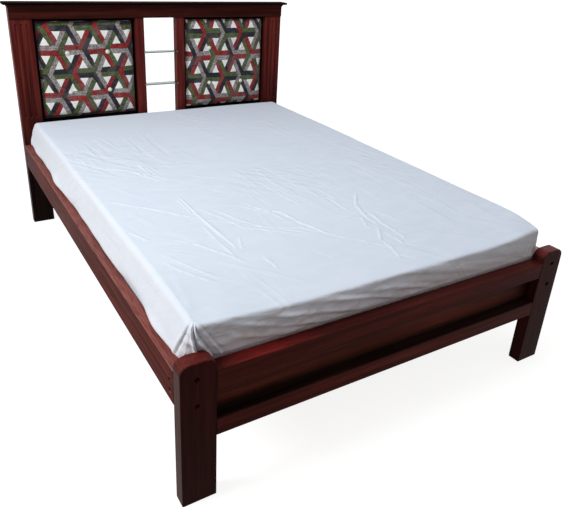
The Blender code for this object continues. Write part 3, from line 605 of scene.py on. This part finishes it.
pad_prints = {
    "left": lattice_print("print_left", start=(-0.5234, 0.8736), across=0.1153, up=0.1138, turn=1.0),
    "right": lattice_print("print_right", start=(0.3157, 0.8165), across=0.1094, up=0.1195, turn=-1.0),
}
for side in ("left", "right"):
    low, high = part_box(f"pad_{side}")
    middle = (low + high) / 2
    button_places = []
    for number in range(1, 5):
        button_low, button_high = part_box(f"pad_button_{side}_{number}")
        button_places.append((button_low + button_high) / 2)
    form = bmesh.new()
    form.from_mesh(node[f"pad_{side}"].data)
    bmesh.ops.remove_doubles(form, verts=form.verts, dist=SAME_POINT)
    from_back = Matrix.Translation(-Vector((middle.x, high.y, middle.z)))
    bmesh.ops.scale(form, vec=PAD_DRAW_IN, space=from_back, verts=form.verts)

    def held_by_tacks_and_buttons(points):
        """The cloth is tacked behind the board and drawn in by the buttons."""
        fixed = points[:, 1] > high.y - TACK_DEPTH
        for place in button_places:
            fixed |= np.hypot(points[:, 0] - place.x, points[:, 2] - place.z) < BUTTON_HOLD
        return fixed

    pad = swollen(form, held_by_tacks_and_buttons, PAD_SWELL, f"padded_panel_{side}")
    mesh = pad.data
    mesh.materials.append(pad_prints[side])
    points = np.array([vertex.co for vertex in mesh.vertices])
    reach_x = np.abs(points[:, 0] - middle.x) / (high.x - low.x)
    reach_z = np.abs(points[:, 2] - middle.z) / (high.z - low.z)
    near_edge = np.clip((np.maximum(reach_x, reach_z) - EDGE_TURN[0]) / EDGE_TURN[1], 0, 1)
    room = np.clip(high.y - EDGE_CLEAR - points[:, 1], 0, 1)
    points[:, 1] += room * EDGE_FALL * (1 - np.sqrt(1 - near_edge**2))
    mesh.vertices.foreach_set("co", points.ravel())
    depth = np.maximum(0.0, points[:, 1] - (low.y + FACE_DEPTH))
    flat_x = points[:, 0] + np.where(reach_x > reach_z, np.sign(points[:, 0] - middle.x) * depth, 0)
    flat_z = points[:, 2] + np.where(reach_x > reach_z, 0, np.sign(points[:, 2] - middle.z) * depth)
    layout = mesh.uv_layers.new(name="cloth")
    corners = np.zeros(len(mesh.loops), int)
    mesh.loops.foreach_get("vertex_index", corners)
    layout.data.foreach_set("uv", np.stack([flat_x[corners], flat_z[corners]], axis=1).ravel())
    mesh.polygons.foreach_set("use_smooth", [True] * len(mesh.polygons))
    set_up(pad.modifiers.new("fine", "SUBSURF"), levels=1, render_levels=1)
    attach(pad, "bed_frame")
    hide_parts(f"pad_{side}")


# Eight buttons, each a shallow dome covered in plain cream cloth,
# with a cord through the pad and its board that draws the dome into the foam.
DOME = [  # share of the radius, share of the height
    (0.0, 1.0),
    (0.35, 0.97),
    (0.65, 0.83),
    (0.88, 0.58),
    (1.0, 0.28),
    (0.96, 0.08),
    (0.86, 0.0),
]
DOME_STEPS = 32
button_cloth, tree, shader = new_finish("button_cloth")
thread = noise_layer(tree, own_place(tree), (1500, 1500, 1500), 2)
tone = colour_steps(tree, thread, [(0.3, paint(214, 208, 194)), (0.6, paint(242, 238, 228))])
feed(tree, shader, {"Base Color": tone, "Roughness": 0.8})
raised(tree, shader, thread, distance=0.0003, strength=0.4)
for side in ("left", "right"):
    for number in range(1, 5):
        low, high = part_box(f"pad_button_{side}_{number}")
        radius = (high.x - low.x) / 2
        thick = high.y - low.y
        form = bmesh.new()
        rim = [form.verts.new((reach * radius, -rise * thick, 0)) for reach, rise in DOME]
        rim.append(form.verts.new((0, 0, 0)))
        edges = [form.edges.new(pair) for pair in zip(rim, rim[1:])]
        bmesh.ops.spin(
            form,
            geom=rim + edges,
            axis=(0, 1, 0),
            cent=(0, 0, 0),
            steps=DOME_STEPS,
            angle=2 * math.pi,
            use_merge=True,
        )
        bmesh.ops.remove_doubles(form, verts=form.verts, dist=2 * SAME_POINT)
        bmesh.ops.recalc_face_normals(form, faces=form.faces)
        middle = (low + high) / 2
        bmesh.ops.translate(form, vec=(middle.x, high.y, middle.z), verts=form.verts)
        button = put_in_scene(f"covered_button_{side}_{number}", form, button_cloth)
        set_up(button.modifiers.new("fine", "SUBSURF"), levels=1, render_levels=1)
        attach(button, "bed_frame")
        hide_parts(f"pad_button_{side}_{number}")


# Two clear glass shelves, 6 mm thick, cut and polished on their edges.
# Each lies loose in a groove in either mullion and can be drawn out to the front.
clear_glass, tree, shader = new_finish("clear_glass")
smear = noise_layer(tree, own_place(tree), (18, 40, 18), 4)
feed(tree, shader, {"Base Color": (0.16, 0.22, 0.21, 1), "Transmission Weight": 1.0, "IOR": 1.5})
feed(tree, shader, {"Roughness": spread_to(tree, smear, 0.02, 0.09)})
dressed(["glass_shelf_upper", "glass_shelf_lower"], clear_glass)


# The corner fixings: a steel angle inside each corner, two bolts through the post and two
# through the rail, their heads sunk below the wood.
def plated_steel(name, light, dark, gloss):
    """Steel with a thin uneven plating."""
    material, tree, shader = new_finish(name)
    cloudy = noise_layer(tree, own_place(tree), (140, 140, 140), 4)
    tone = colour_steps(tree, cloudy, [(0.35, dark), (0.65, light)])
    feed(tree, shader, {"Base Color": tone, "Roughness": spread_to(tree, cloudy, *gloss), "Metallic": 1.0})
    return material


corners = [f"{end}_{side}" for end in ("foot", "head") for side in ("left", "right")]
zinc = plated_steel("zinc_steel", paint(188, 188, 182), paint(132, 132, 128), (0.35, 0.55))
dressed([f"corner_bracket_{corner}" for corner in corners], zinc, arris=0.0006)
bolt_steel = plated_steel("dark_bolt_steel", paint(24, 22, 21), paint(11, 10, 10), (0.6, 0.75))
for corner in corners:
    for kind in ("post", "rail"):
        dressed([f"{kind}_bolt_{corner}_{level}" for level in ("upper", "lower")], bolt_steel)


# The mattress: a foam block in woven striped ticking, laid loose on the slats between the rails.
# Its edges are rounded, it bulges a little over the rails and it has sagged towards the foot end.
def rounded_place(x, y, half, radius):
    """A point of a rectangle drawn in to a rectangle with rounded corners."""
    over_x = abs(x) - (half[0] - radius)
    over_y = abs(y) - (half[1] - radius)
    if over_x <= 0 or over_y <= 0:
        return x, y
    reach = max(over_x, over_y) / math.hypot(over_x, over_y)
    return (
        math.copysign(half[0] - radius + over_x * reach, x),
        math.copysign(half[1] - radius + over_y * reach, y),
    )


def grid_lines(half, radius, pitch, corner_lines):
    """Places of grid lines from edge to edge, closer together in the corners."""
    inner = half - radius
    count = max(2, round(2 * inner / pitch))
    lines = [-inner + 2 * inner * index / count for index in range(count + 1)]
    ends = [inner + radius * (index + 1) / corner_lines for index in range(corner_lines)]
    return [-end for end in reversed(ends)] + lines + ends


def wrapped_block(half, corner, edge, profile, pitch, corner_lines):
    """A grid over the top of a block, its rim carried round the edge and down by rings.
    The profile gives each ring's inset and height."""
    form = bmesh.new()
    store = [form.verts.layers.float.new(name) for name in ("core_x", "core_y", "out_x", "out_y", "ring")]
    top = (half[0] - edge, half[1] - edge)
    xs = grid_lines(top[0], corner - edge, pitch, corner_lines)
    ys = grid_lines(top[1], corner - edge, pitch, corner_lines)
    bmesh.ops.create_grid(form, x_segments=len(xs) - 1, y_segments=len(ys) - 1, size=1)
    for vertex in form.verts:
        column = round((vertex.co.x + 1) / 2 * (len(xs) - 1))
        line = round((vertex.co.y + 1) / 2 * (len(ys) - 1))
        x, y = rounded_place(xs[column], ys[line], top, corner - edge)
        vertex.co = (x, y, profile[0][1])
        core = Vector((x, y))
        for part in (0, 1):
            core[part] = max(corner - half[part], min(half[part] - corner, core[part]))
        out = Vector((x, y)) - core
        out = out.normalized() if out.length > 1e-6 else Vector((0, 0))
        for layer, value in zip(store, (core.x, core.y, out.x, out.y, 0.0)):
            vertex[layer] = value
    rim = [item for item in form.edges if item.is_boundary]
    for number, (inset, height) in enumerate(profile[1:], 1):
        made = bmesh.ops.extrude_edge_only(form, edges=rim)["geom"]
        rim = [item for item in made if isinstance(item, bmesh.types.BMEdge) and item.is_boundary]
        for vertex in [item for item in made if isinstance(item, bmesh.types.BMVert)]:
            reach = corner - inset
            vertex.co.x = vertex[store[0]] + vertex[store[2]] * reach
            vertex.co.y = vertex[store[1]] + vertex[store[3]] * reach
            vertex.co.z = height
            vertex[store[4]] = number
    return form, store, rim


def edge_path(corners, counts):
    """Rings along straight runs with eased turns between them. Each corner is an inset from the
    outer face, a height and the ease at its turn; counts are the steps on each run."""
    spots = [np.array(corner[:2]) for corner in corners]
    path = [spots[0]]
    for index in range(1, len(spots)):
        last = index == len(spots) - 1
        back = (spots[index - 1] - spots[index]) / np.linalg.norm(spots[index - 1] - spots[index])
        near = spots[index] if last else spots[index] + back * corners[index][2]
        start = path[-1]
        count = counts[index - 1]
        path += [start + (near - start) * step / count for step in range(1, count + 1)]
        if last:
            break
        ahead = (spots[index + 1] - spots[index]) / np.linalg.norm(spots[index + 1] - spots[index])
        far = spots[index] + ahead * corners[index][2]
        for turn in (0.25, 0.5, 0.75, 1.0):
            path.append(near * (1 - turn) ** 2 + spots[index] * 2 * turn * (1 - turn) + far * turn**2)
    return np.array(path)


def eased(share):
    """A share from 0 to 1 with a soft start and a soft stop."""
    return share * share * (3 - 2 * share)


SAG_DEPTH = 0.027
SAG_START = -0.62
SAG_LENGTH = 0.36
SAG_HALF_WIDTH = 0.66


def foot_sag(x, y):
    """How far the top sinks towards the foot end, most in the middle of its width."""
    near = np.clip((SAG_START - y) / SAG_LENGTH, 0, 1)
    return SAG_DEPTH * np.clip(1 - (x / SAG_HALF_WIDTH) ** 4, 0, 1) * eased(near)


STRIPES = 95.0  # radians to a metre, with a stripe at every half turn
ticking, tree, shader = new_finish("ticking")
place = own_place(tree)
do = arithmetic(tree)
stripe = do("ABSOLUTE", do("SINE", do("MULTIPLY", parts_of(tree, place)["X"], STRIPES)))
tone = colour_steps(tree, stripe, [(0.10, paint(128, 140, 160)), (0.16, paint(232, 228, 218))])
fleck = noise_layer(tree, place, (700, 700, 700), 2)
shade = colour_steps(tree, fleck, [(0.3, (0.8, 0.8, 0.8, 1)), (0.6, WHITE)])
tone = tinted(tree, "MULTIPLY", 0.5, tone, shade)
feed(tree, shader, {"Base Color": tone, "Roughness": 0.85})
raised(tree, shader, fleck, distance=0.0004, strength=0.5)

low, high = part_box("mattress")
middle = (low + high) / 2
half = ((high.x - low.x) / 2, (high.y - low.y) / 2)
RAIL_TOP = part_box("side_rail_left")[1].z
SIDE_ROOM = 0.018  # kept clear for the sheet at the sides
TOP_ROOM = 0.014  # and on top
MATTRESS_EDGE = 0.060
MATTRESS_CORNER = 0.062
MATTRESS_FINENESS = 0.04
top = high.z - TOP_ROOM
rings = edge_path(
    [
        (MATTRESS_EDGE, top, 0),
        (0.040, top - 0.004, 0.012),
        (0.010, RAIL_TOP + 0.02, 0.01),
        (0.014, low.z, 0.012),
        (0.040, low.z, 0),
    ],
    (2, 5, 4, 2),
)
block = (half[0] - SIDE_ROOM, half[1] - SIDE_ROOM)
form, store, rim = wrapped_block(block, MATTRESS_CORNER, MATTRESS_EDGE, rings, MATTRESS_FINENESS, 3)
bmesh.ops.holes_fill(form, edges=rim, sides=0)
for vertex in form.verts:
    if vertex.co.z > RAIL_TOP:
        share = (vertex.co.z - RAIL_TOP) / (top - RAIL_TOP)
        vertex.co.z -= share * foot_sag(vertex.co.x, vertex.co.y + middle.y)
bmesh.ops.recalc_face_normals(form, faces=form.faces)
bmesh.ops.translate(form, vec=(middle.x, middle.y, 0), verts=form.verts)
mattress = put_in_scene("ticking_mattress", form, ticking)
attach(mattress, "mattress")
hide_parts("mattress")


# The sheet: one plain cotton cloth laid over the mattress, its sides tucked in behind the rails
# and under the mattress, its corners folded into pleats, with creases left from the laundry.
def runs_along(path):
    """How far along a path each of its points lies."""
    return np.concatenate([[0], np.cumsum(np.linalg.norm(np.diff(path, axis=0), axis=1))])


def hump(offset, width):
    """1 at no offset, falling off smoothly to either side."""
    return np.exp(-((offset / width) ** 2))


TROUGH_DEPTH = 0.55  # beside a crease, as a share of its height
TROUGH_OFFSET = 1.7  # from the middle of the crease, in widths of it
CREASE_ENDS = 0.2  # share of a crease over which it fades out at either end


def crease_height(x, y, points, height, width):
    """The ridge and the shallow trough beside it that a pressed crease leaves, fading at its ends."""
    points = np.array(points)
    runs = runs_along(points)
    best = np.full_like(x, 1e9)
    along = np.zeros_like(x)
    side = np.zeros_like(x)
    for start, end, run in zip(points, points[1:], runs):
        step = end - start
        length = np.linalg.norm(step)
        share = np.clip(((x - start[0]) * step[0] + (y - start[1]) * step[1]) / length**2, 0, 1)
        off_x = x - start[0] - share * step[0]
        off_y = y - start[1] - share * step[1]
        away = np.hypot(off_x, off_y)
        near = away < best
        best = np.where(near, away, best)
        along = np.where(near, run + share * length, along)
        side = np.where(near, np.sign(off_x * step[1] - off_y * step[0]), side)
    place = along / runs[-1]
    fade = np.clip(np.minimum(place, 1 - place) / CREASE_ENDS, 0, 1)
    offset = best * side
    trough = TROUGH_DEPTH * hump(offset - TROUGH_OFFSET * width, width)
    return height * fade * (hump(offset, width) - trough)


def wavy(values, seed, scale):
    """Smooth repeatable waves along one or two coordinates."""
    return np.array([noise.noise(Vector((*(part * scale for part in value), seed))) for value in values])


cotton, tree, shader = new_finish("sheet_cotton")
flat = on_cloth(tree)
do = arithmetic(tree)
crumple = noise_layer(tree, flat, (9, 22, 9), 5, 0.6)
fine = noise_layer(tree, flat, (60, 150, 60), 4, 0.4)
weave = noise_layer(tree, flat, (2200, 2200, 2200), 1)
tone = colour_steps(tree, crumple, [(0.3, paint(219, 229, 244)), (0.7, paint(224, 232, 245))])
axes = parts_of(tree, own_place(tree))
faces = facing(tree)
# Painted warm shade on the drop at the foot end, strongest down by the rail
height = do("MULTIPLY", do("SUBTRACT", axes["Z"], RAIL_TOP), 9.0)
hem_painted_shade = colour_steps(tree, height, [(0.0, paint(255, 239, 233)), (1.0, WHITE)])
to_foot = spread_to(tree, do("MULTIPLY", faces["Y"], -1.0), 0.0, 1.0)
tone = tinted(tree, "MULTIPLY", to_foot, tone, hem_painted_shade)
# Painted shade in the crumples of the drop at the foot end, less of it towards the right
rumpled = noise_layer(tree, flat, (14, 42, 14), 5, 0.8)
crumple_painted_shade = colour_steps(tree, rumpled, [(0.36, paint(230, 222, 218)), (0.58, WHITE)])
pulled_smooth = do("MAXIMUM", do("MINIMUM", do("SUBTRACT", 0.65, axes["X"]), 1.0), 0.20)
rough = do("MULTIPLY", to_foot, pulled_smooth)
tone = tinted(tree, "MULTIPLY", rough, tone, crumple_painted_shade)
# Painted warm window light on the side that faces the window
to_window = spread_to(tree, do("MULTIPLY", faces["X"], -1.0), 0.0, 1.0)
tone = tinted(tree, "MULTIPLY", to_window, tone, (1.0, 0.965, 0.935, 1))
feed(tree, shader, {"Base Color": tone, "Roughness": 0.9})
feed(tree, shader, {"Specular IOR Level": 0.2, "Sheen Weight": 0.1})
relief = do("ADD", do("MULTIPLY", crumple, 0.12), do("MULTIPLY", fine, 0.06))
relief = do("ADD", relief, do("MULTIPLY", do("MULTIPLY", rough, rumpled), 0.8))
for angle, length, width, cover, depth in (
    (-55, 0.60, 0.070, (1.6, 2.1, 2), 0.55),
    (-40, 0.45, 0.055, (2.3, 2.9, 5), 0.45),
    (-86, 0.50, 0.060, (2.9, 1.7, 3), 0.55),
    (-12, 0.50, 0.065, (2.2, 2.6, 4), 0.45),
):
    drawn_out = {"Rotation": (0, 0, math.radians(angle)), "Scale": (length, width, 1)}
    drawn = new_node(tree, "Mapping", {"Vector": flat, **drawn_out}, vector_type="TEXTURE")
    drift = noise_layer(tree, drawn.outputs["Vector"], (1, 1, 1), 1, 0.7)
    wander = do("ABSOLUTE", do("SUBTRACT", drift, 0.5))
    line = do("SUBTRACT", 1.0, do("MINIMUM", do("MULTIPLY", wander, 9.0), 1.0))
    patch = noise_layer(tree, flat, cover, 1)
    patch = do("MINIMUM", do("MULTIPLY", do("MAXIMUM", do("SUBTRACT", patch, 0.50), 0.0), 7.0), 1.0)
    relief = do("ADD", relief, do("MULTIPLY", do("MULTIPLY", line, patch), depth))
raised(tree, shader, do("ADD", relief, do("MULTIPLY", weave, 0.03)), distance=0.004, strength=0.7)

low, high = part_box("bed_sheet")
middle = (low + high) / 2
half = ((high.x - low.x) / 2, (high.y - low.y) / 2)
SHEET_CORNER = 0.050
SHEET_EDGE = 0.048
SHEET_TUCK = 0.105  # how far in from the side the hem lies, under the mattress
SHEET_FINENESS = 0.0105
CROWN = 0.004
top = high.z - CROWN
base = low.z + 0.0006
counts = (4, 14, 3, 8, 5)
by_sides = edge_path(
    [
        (SHEET_EDGE, top, 0),
        (0.0325, top - 0.0015, 0.0150),
        (0.001, RAIL_TOP + 0.016, 0.010),
        (0.0175, RAIL_TOP + 0.001, 0.007),
        (0.0175, base, 0.012),
        (SHEET_TUCK, base, 0),
    ],
    counts,
)
by_foot = edge_path(
    [
        (SHEET_EDGE, top, 0),
        (0.001, top - 0.003, 0.013),
        (0.0, RAIL_TOP + 0.009, 0.004),
        (0.006, RAIL_TOP + 0.001, 0.004),
        (0.006, base, 0.012),
        (SHEET_TUCK, base, 0),
    ],
    counts,
)
form, store, rim = wrapped_block(half, SHEET_CORNER, SHEET_EDGE, by_sides, SHEET_FINENESS, 6)
bmesh.ops.recalc_face_normals(form, faces=form.faces)
bmesh.ops.translate(form, vec=(middle.x, middle.y, 0), verts=form.verts)
# Each crease is its places on top of the bed and its height
pressed = [
    ([(-0.435, -0.414), (-0.308, -0.521), (-0.191, -0.621), (-0.085, -0.716)], 0.0010),
    ([(-0.492, -0.705), (-0.415, -0.779), (-0.327, -0.875)], 0.0009),
    ([(-0.627, -0.649), (-0.593, -0.728), (-0.518, -0.832)], 0.0010),
    ([(-0.320, -0.009), (-0.174, -0.122), (-0.013, -0.182)], 0.0009),
    ([(-0.483, 0.094), (-0.419, 0.026), (-0.348, -0.079)], 0.0009),
    ([(-0.400, -0.20), (-0.401, -0.40), (-0.398, -0.56), (-0.393, -0.71)], 0.0017),
    ([(-0.412, -0.23), (-0.411, -0.38)], 0.0010),
    ([(-0.606, 0.21), (-0.472, 0.10), (-0.406, -0.04), (-0.381, -0.08)], 0.0012),
    ([(-0.420, 0.18), (-0.414, 0.0)], 0.0010),
    ([(-0.650, -0.15), (-0.519, -0.29), (-0.409, -0.43)], 0.0013),
    ([(-0.652, -0.42), (-0.611, -0.52)], 0.0015),
    ([(-0.489, -0.10), (-0.356, -0.16), (-0.234, -0.18)], 0.0009),
    ([(-0.552, -0.53), (-0.501, -0.59), (-0.421, -0.72), (-0.396, -0.77)], 0.0014),
    ([(-0.609, -0.62), (-0.550, -0.74), (-0.503, -0.81)], 0.0010),
    ([(-0.342, -0.34), (-0.294, -0.50), (-0.252, -0.57), (-0.139, -0.63), (-0.083, -0.70)], 0.0012),
    (
        [(-0.219, -0.34), (-0.186, -0.44), (-0.131, -0.50), (-0.117, -0.60)]
        + [(-0.080, -0.70), (0.055, -0.82), (0.146, -0.91)],
        0.0021,
    ),
    ([(0.231, -0.45), (0.148, -0.56), (0.117, -0.66), (0.121, -0.74)], 0.0019),
    ([(0.152, -0.60), (0.144, -0.72), (0.158, -0.81), (0.147, -0.84)], 0.0015),
    ([(0.119, -0.72), (0.069, -0.80), (0.073, -0.85), (0.053, -0.93)], 0.0015),
    ([(0.105, -0.34), (0.108, -0.39), (0.113, -0.58)], 0.0011),
    ([(-0.056, -0.35), (-0.030, -0.48)], 0.0009),
    ([(-0.340, -0.74), (-0.327, -0.83)], 0.0010),
    ([(-0.182, -0.76), (-0.121, -0.85)], 0.0009),
    ([(-0.413, -0.78), (-0.364, -0.82), (-0.324, -0.87), (-0.274, -0.91)], 0.0009),
    ([(-0.389, -0.32), (-0.340, -0.45), (-0.310, -0.55), (-0.214, -0.63), (-0.118, -0.71)], 0.0010),
    ([(-0.421, -0.48), (-0.424, -0.62), (-0.418, -0.73)], 0.0010),
    ([(-0.340, -0.33), (-0.236, -0.39), (-0.162, -0.50), (-0.144, -0.61)], 0.0010),
    ([(0.087, -0.42), (0.095, -0.50), (0.090, -0.61)], 0.0010),
    ([(0.113, -0.76), (0.125, -0.81), (0.127, -0.85)], 0.0012),
    ([(0.099, -0.65), (0.077, -0.72), (0.091, -0.75)], 0.0012),
    ([(0.132, -0.84), (0.187, -0.89)], 0.0009),
    ([(0.173, -0.63), (0.216, -0.72)], 0.0009),
    ([(0.061, -0.88), (0.119, -0.94)], 0.0010),
    ([(-0.353, -0.61), (-0.382, -0.69)], 0.0009),
]
FAINT_CREASES = 22
chance = np.random.RandomState(7)
for _ in range(FAINT_CREASES):
    start = np.array([chance.uniform(-0.62, 0.55), chance.uniform(-0.85, 0.55)])
    turn = math.radians(chance.normal(-58, 22))
    length = chance.uniform(0.08, 0.26)
    step = np.array([math.cos(turn), math.sin(turn)]) * length
    bow = np.array([-step[1], step[0]]) * chance.uniform(-0.08, 0.08)
    pressed.append(([start, start + step / 2 + bow, start + step], chance.uniform(0.0004, 0.0008)))
# The mesh is finer along the sharp creases and round the corners at the foot end
SHARP_CREASE = 0.00085
PLEATED = 0.12  # reach of the pleats round a corner
LAST_FINE_RING = 24
LAST_CREASED_RING = 11
CREASE_GAIN = 1.5  # over the heights in the list
SHARP_WIDTH = 0.0032
SOFT_WIDTH = 0.009
spots = np.array([(edge.verts[0].co + edge.verts[1].co) / 2 for edge in form.edges])
folded = np.hypot(np.abs(spots[:, 0] - middle.x) - half[0], spots[:, 1] - low.y) < PLEATED
for line, height in pressed:
    if height > SHARP_CREASE:
        folded |= crease_height(spots[:, 0], spots[:, 1], line, 1.0, 0.006) > 0.10
lines = [
    edge for edge, sharp in zip(form.edges, folded) if sharp and edge.verts[0][store[4]] < LAST_FINE_RING
]
bmesh.ops.subdivide_edges(form, edges=lines, cuts=3, use_grid_fill=True)
form.verts.index_update()

# Each point's place on its ring: the foot end hangs steeper than the sides
facts = np.array([[vertex[layer] for layer in store] for vertex in form.verts])
points = np.array([vertex.co for vertex in form.verts])
core, out, ring = facts[:, 0:2], facts[:, 2:4], facts[:, 4]
at_foot = eased(np.clip(-out[:, 1], 0, 1))
numbers = np.arange(len(by_sides))
inset_sides, height_sides = (np.interp(ring, numbers, by_sides[:, part]) for part in (0, 1))
inset_foot, height_foot = (np.interp(ring, numbers, by_foot[:, part]) for part in (0, 1))
insets = (inset_sides, np.where(out[:, 1] < 0, inset_foot, inset_sides))
left_foot = (out[:, 1] < 0) & (out[:, 0] < 0)
squarer = np.where(left_foot, np.maximum(np.abs(out).max(axis=1), 0.5) ** -0.25, 1.0)
hanging = ring > 0.001
for part in (0, 1):
    spread = core[:, part] + out[:, part] * squarer * (SHEET_CORNER - insets[part]) + middle[part]
    points[:, part] = np.where(hanging, spread, points[:, part])
x, y, z = points.T  # views, so a move of one of them moves the points
z[:] = np.where(hanging, height_sides * (1 - at_foot) + height_foot * at_foot, z)
lengths = [runs_along(path) for path in (by_sides, by_foot)]
run_sides, run_foot = (np.interp(ring, numbers, length) for length in lengths)
run = run_sides * (1 - at_foot) + run_foot * at_foot
above = np.clip((z - RAIL_TOP) / (top - RAIL_TOP), 0, 1)

# The top: a low crown, the creases, soft waves and the sag of the mattress
on_top = np.clip(1 - (top - z - 0.003) / 0.012, 0, 1) * (ring < LAST_CREASED_RING + 1)
lift = CROWN * (1 - ((x - middle.x) / half[0]) ** 2) * (1 - ((y - middle.y) / half[1]) ** 2)
for line, height in pressed:
    width = SHARP_WIDTH if height > SHARP_CREASE else SOFT_WIDTH
    lift += crease_height(x, y, line, height * CREASE_GAIN, width)
lift += wavy(points[:, :2], 3.1, 2.4) * 0.0030
lift += wavy(points[:, :2] @ np.array([[1, 0.5], [-0.5, 1]]), 8.2, 6.0) * 0.0010
lift = lift * on_top - above * foot_sag(x, y)

# The drop at the foot end: slanting gathers and five folds, pulled smooth towards the right
FOLD_SLANT = 0.27
in_side = np.sin(above * math.pi) ** 0.8 * hanging
girth = np.where(np.abs(out[:, 0]) > np.abs(out[:, 1]), y, x)
across = z + FOLD_SLANT * x
along = x - FOLD_SLANT * z
gathers = np.abs(wavy(np.stack([across * 30, along * 3.0], axis=1), 5.7, 1.0)) * 0.016
gathers += wavy(np.stack([across * 75, along * 9.0], axis=1), 2.9, 1.0) * 0.0030
for line, height in (
    ([(-0.470, 0.520), (-0.406, 0.505), (-0.295, 0.481), (-0.183, 0.450), (-0.050, 0.415)], 0.013),
    ([(-0.560, 0.520), (-0.493, 0.500), (-0.416, 0.470), (-0.334, 0.451), (-0.200, 0.420)], 0.011),
    ([(-0.580, 0.480), (-0.492, 0.456), (-0.434, 0.440), (-0.360, 0.418)], 0.009),
    ([(-0.300, 0.520), (-0.234, 0.510), (-0.143, 0.490), (-0.070, 0.470), (0.020, 0.430)], 0.011),
    ([(-0.100, 0.510), (0.020, 0.480), (0.160, 0.430)], 0.009),
):
    gathers += crease_height(x, z, line, height, 0.011)
fullness = np.clip(1.1 - x * 1.6, 0.25, 1)
slack = wavy(np.stack([girth * 3.0 + z * 4.0, z * 14.0], axis=1), 1.9, 1.0) * 0.0040
push = in_side * (slack * (1 - at_foot) + (gathers - 0.004) * at_foot * fullness)

# The sides: the hem bulges over the rail in places, given by y, half width and depth
SIDE_BULGES = ((0.36, 0.12, 0.009), (-0.82, 0.08, 0.008), (-0.60, 0.10, -0.009))
hem = hump(z - RAIL_TOP - 0.016, 0.017) * hanging * (np.abs(out[:, 0]) > 0.7)
swell = sum(depth * hump(y - place, width) for place, width, depth in SIDE_BULGES)
push += hem * (swell + wavy(np.stack([girth, girth * 0], axis=1), 11.0, 7.0) * 0.005)

# The corners: pleats that fan out from the top, each from one distance round the corner to another
turned = np.arctan2(np.abs(out[:, 1]), np.abs(out[:, 0])) - math.pi / 4
past_x = np.where(np.abs(out[:, 0]) < 0.001, half[0] - SHEET_CORNER - np.abs(core[:, 0]), 0)
past_y = np.where(np.abs(out[:, 1]) < 0.001, half[1] - SHEET_CORNER - np.abs(core[:, 1]), 0)
from_corner = turned * SHEET_CORNER + past_x - past_y
drop = (1 - above) * hanging
pleat_share = np.sin(above * math.pi) ** 0.6 * hanging * np.where(x < 0, 1.0, 0.3)
for start, end, height in (
    (-0.014, -0.040, 0.004),
    (0.000, 0.044, 0.011),
    (0.016, 0.078, 0.011),
    (0.040, 0.108, 0.006),
):
    offset = from_corner - start - (end - start) * drop
    ridge = hump(offset, 0.0060) - 1.1 * hump(offset - 0.009, 0.0035)
    push += height * ridge * pleat_share
x += out[:, 0] * push
y += out[:, 1] * push
z += lift

# The two corners at the foot end are pressed down, the right one also drawn in
RIGHT_FOOT = (0.69, -0.98)
LEFT_FOOT = (-0.68, -0.98)
PRESSED_REACH = 0.09
over_rail = np.clip(above * 4, 0, 1)
pull = 0.019 * hump(np.hypot(x - RIGHT_FOOT[0], y - RIGHT_FOOT[1]), PRESSED_REACH)
slimmer = 0.008 * np.clip((x - 0.45) / 0.2, 0, 1) * np.clip(0.4 - y, 0, 1)
x -= (0.30 * pull + slimmer) * over_rail
y += 0.84 * pull * over_rail
z -= 0.9 * pull * above
z -= 0.010 * hump(np.hypot(x - LEFT_FOOT[0], y - LEFT_FOOT[1]), PRESSED_REACH) * above
tucked = (at_foot > 0.5) & (z < RAIL_TOP + 0.004)
y[:] = np.where(tucked, np.maximum(y, low.y), y)

for vertex, point in zip(form.verts, points):
    vertex.co = point
layout = form.loops.layers.uv.new("cloth")
for face in form.faces:
    for corner in face.loops:
        index = corner.vert.index
        reach = SHEET_CORNER - SHEET_EDGE + run[index]
        if hanging[index]:
            corner[layout].uv = core[index] + out[index] * reach
        else:
            corner[layout].uv = points[index, :2]
sheet = put_in_scene("cotton_sheet", form, cotton)
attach(sheet, "mattress")
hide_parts("bed_sheet")
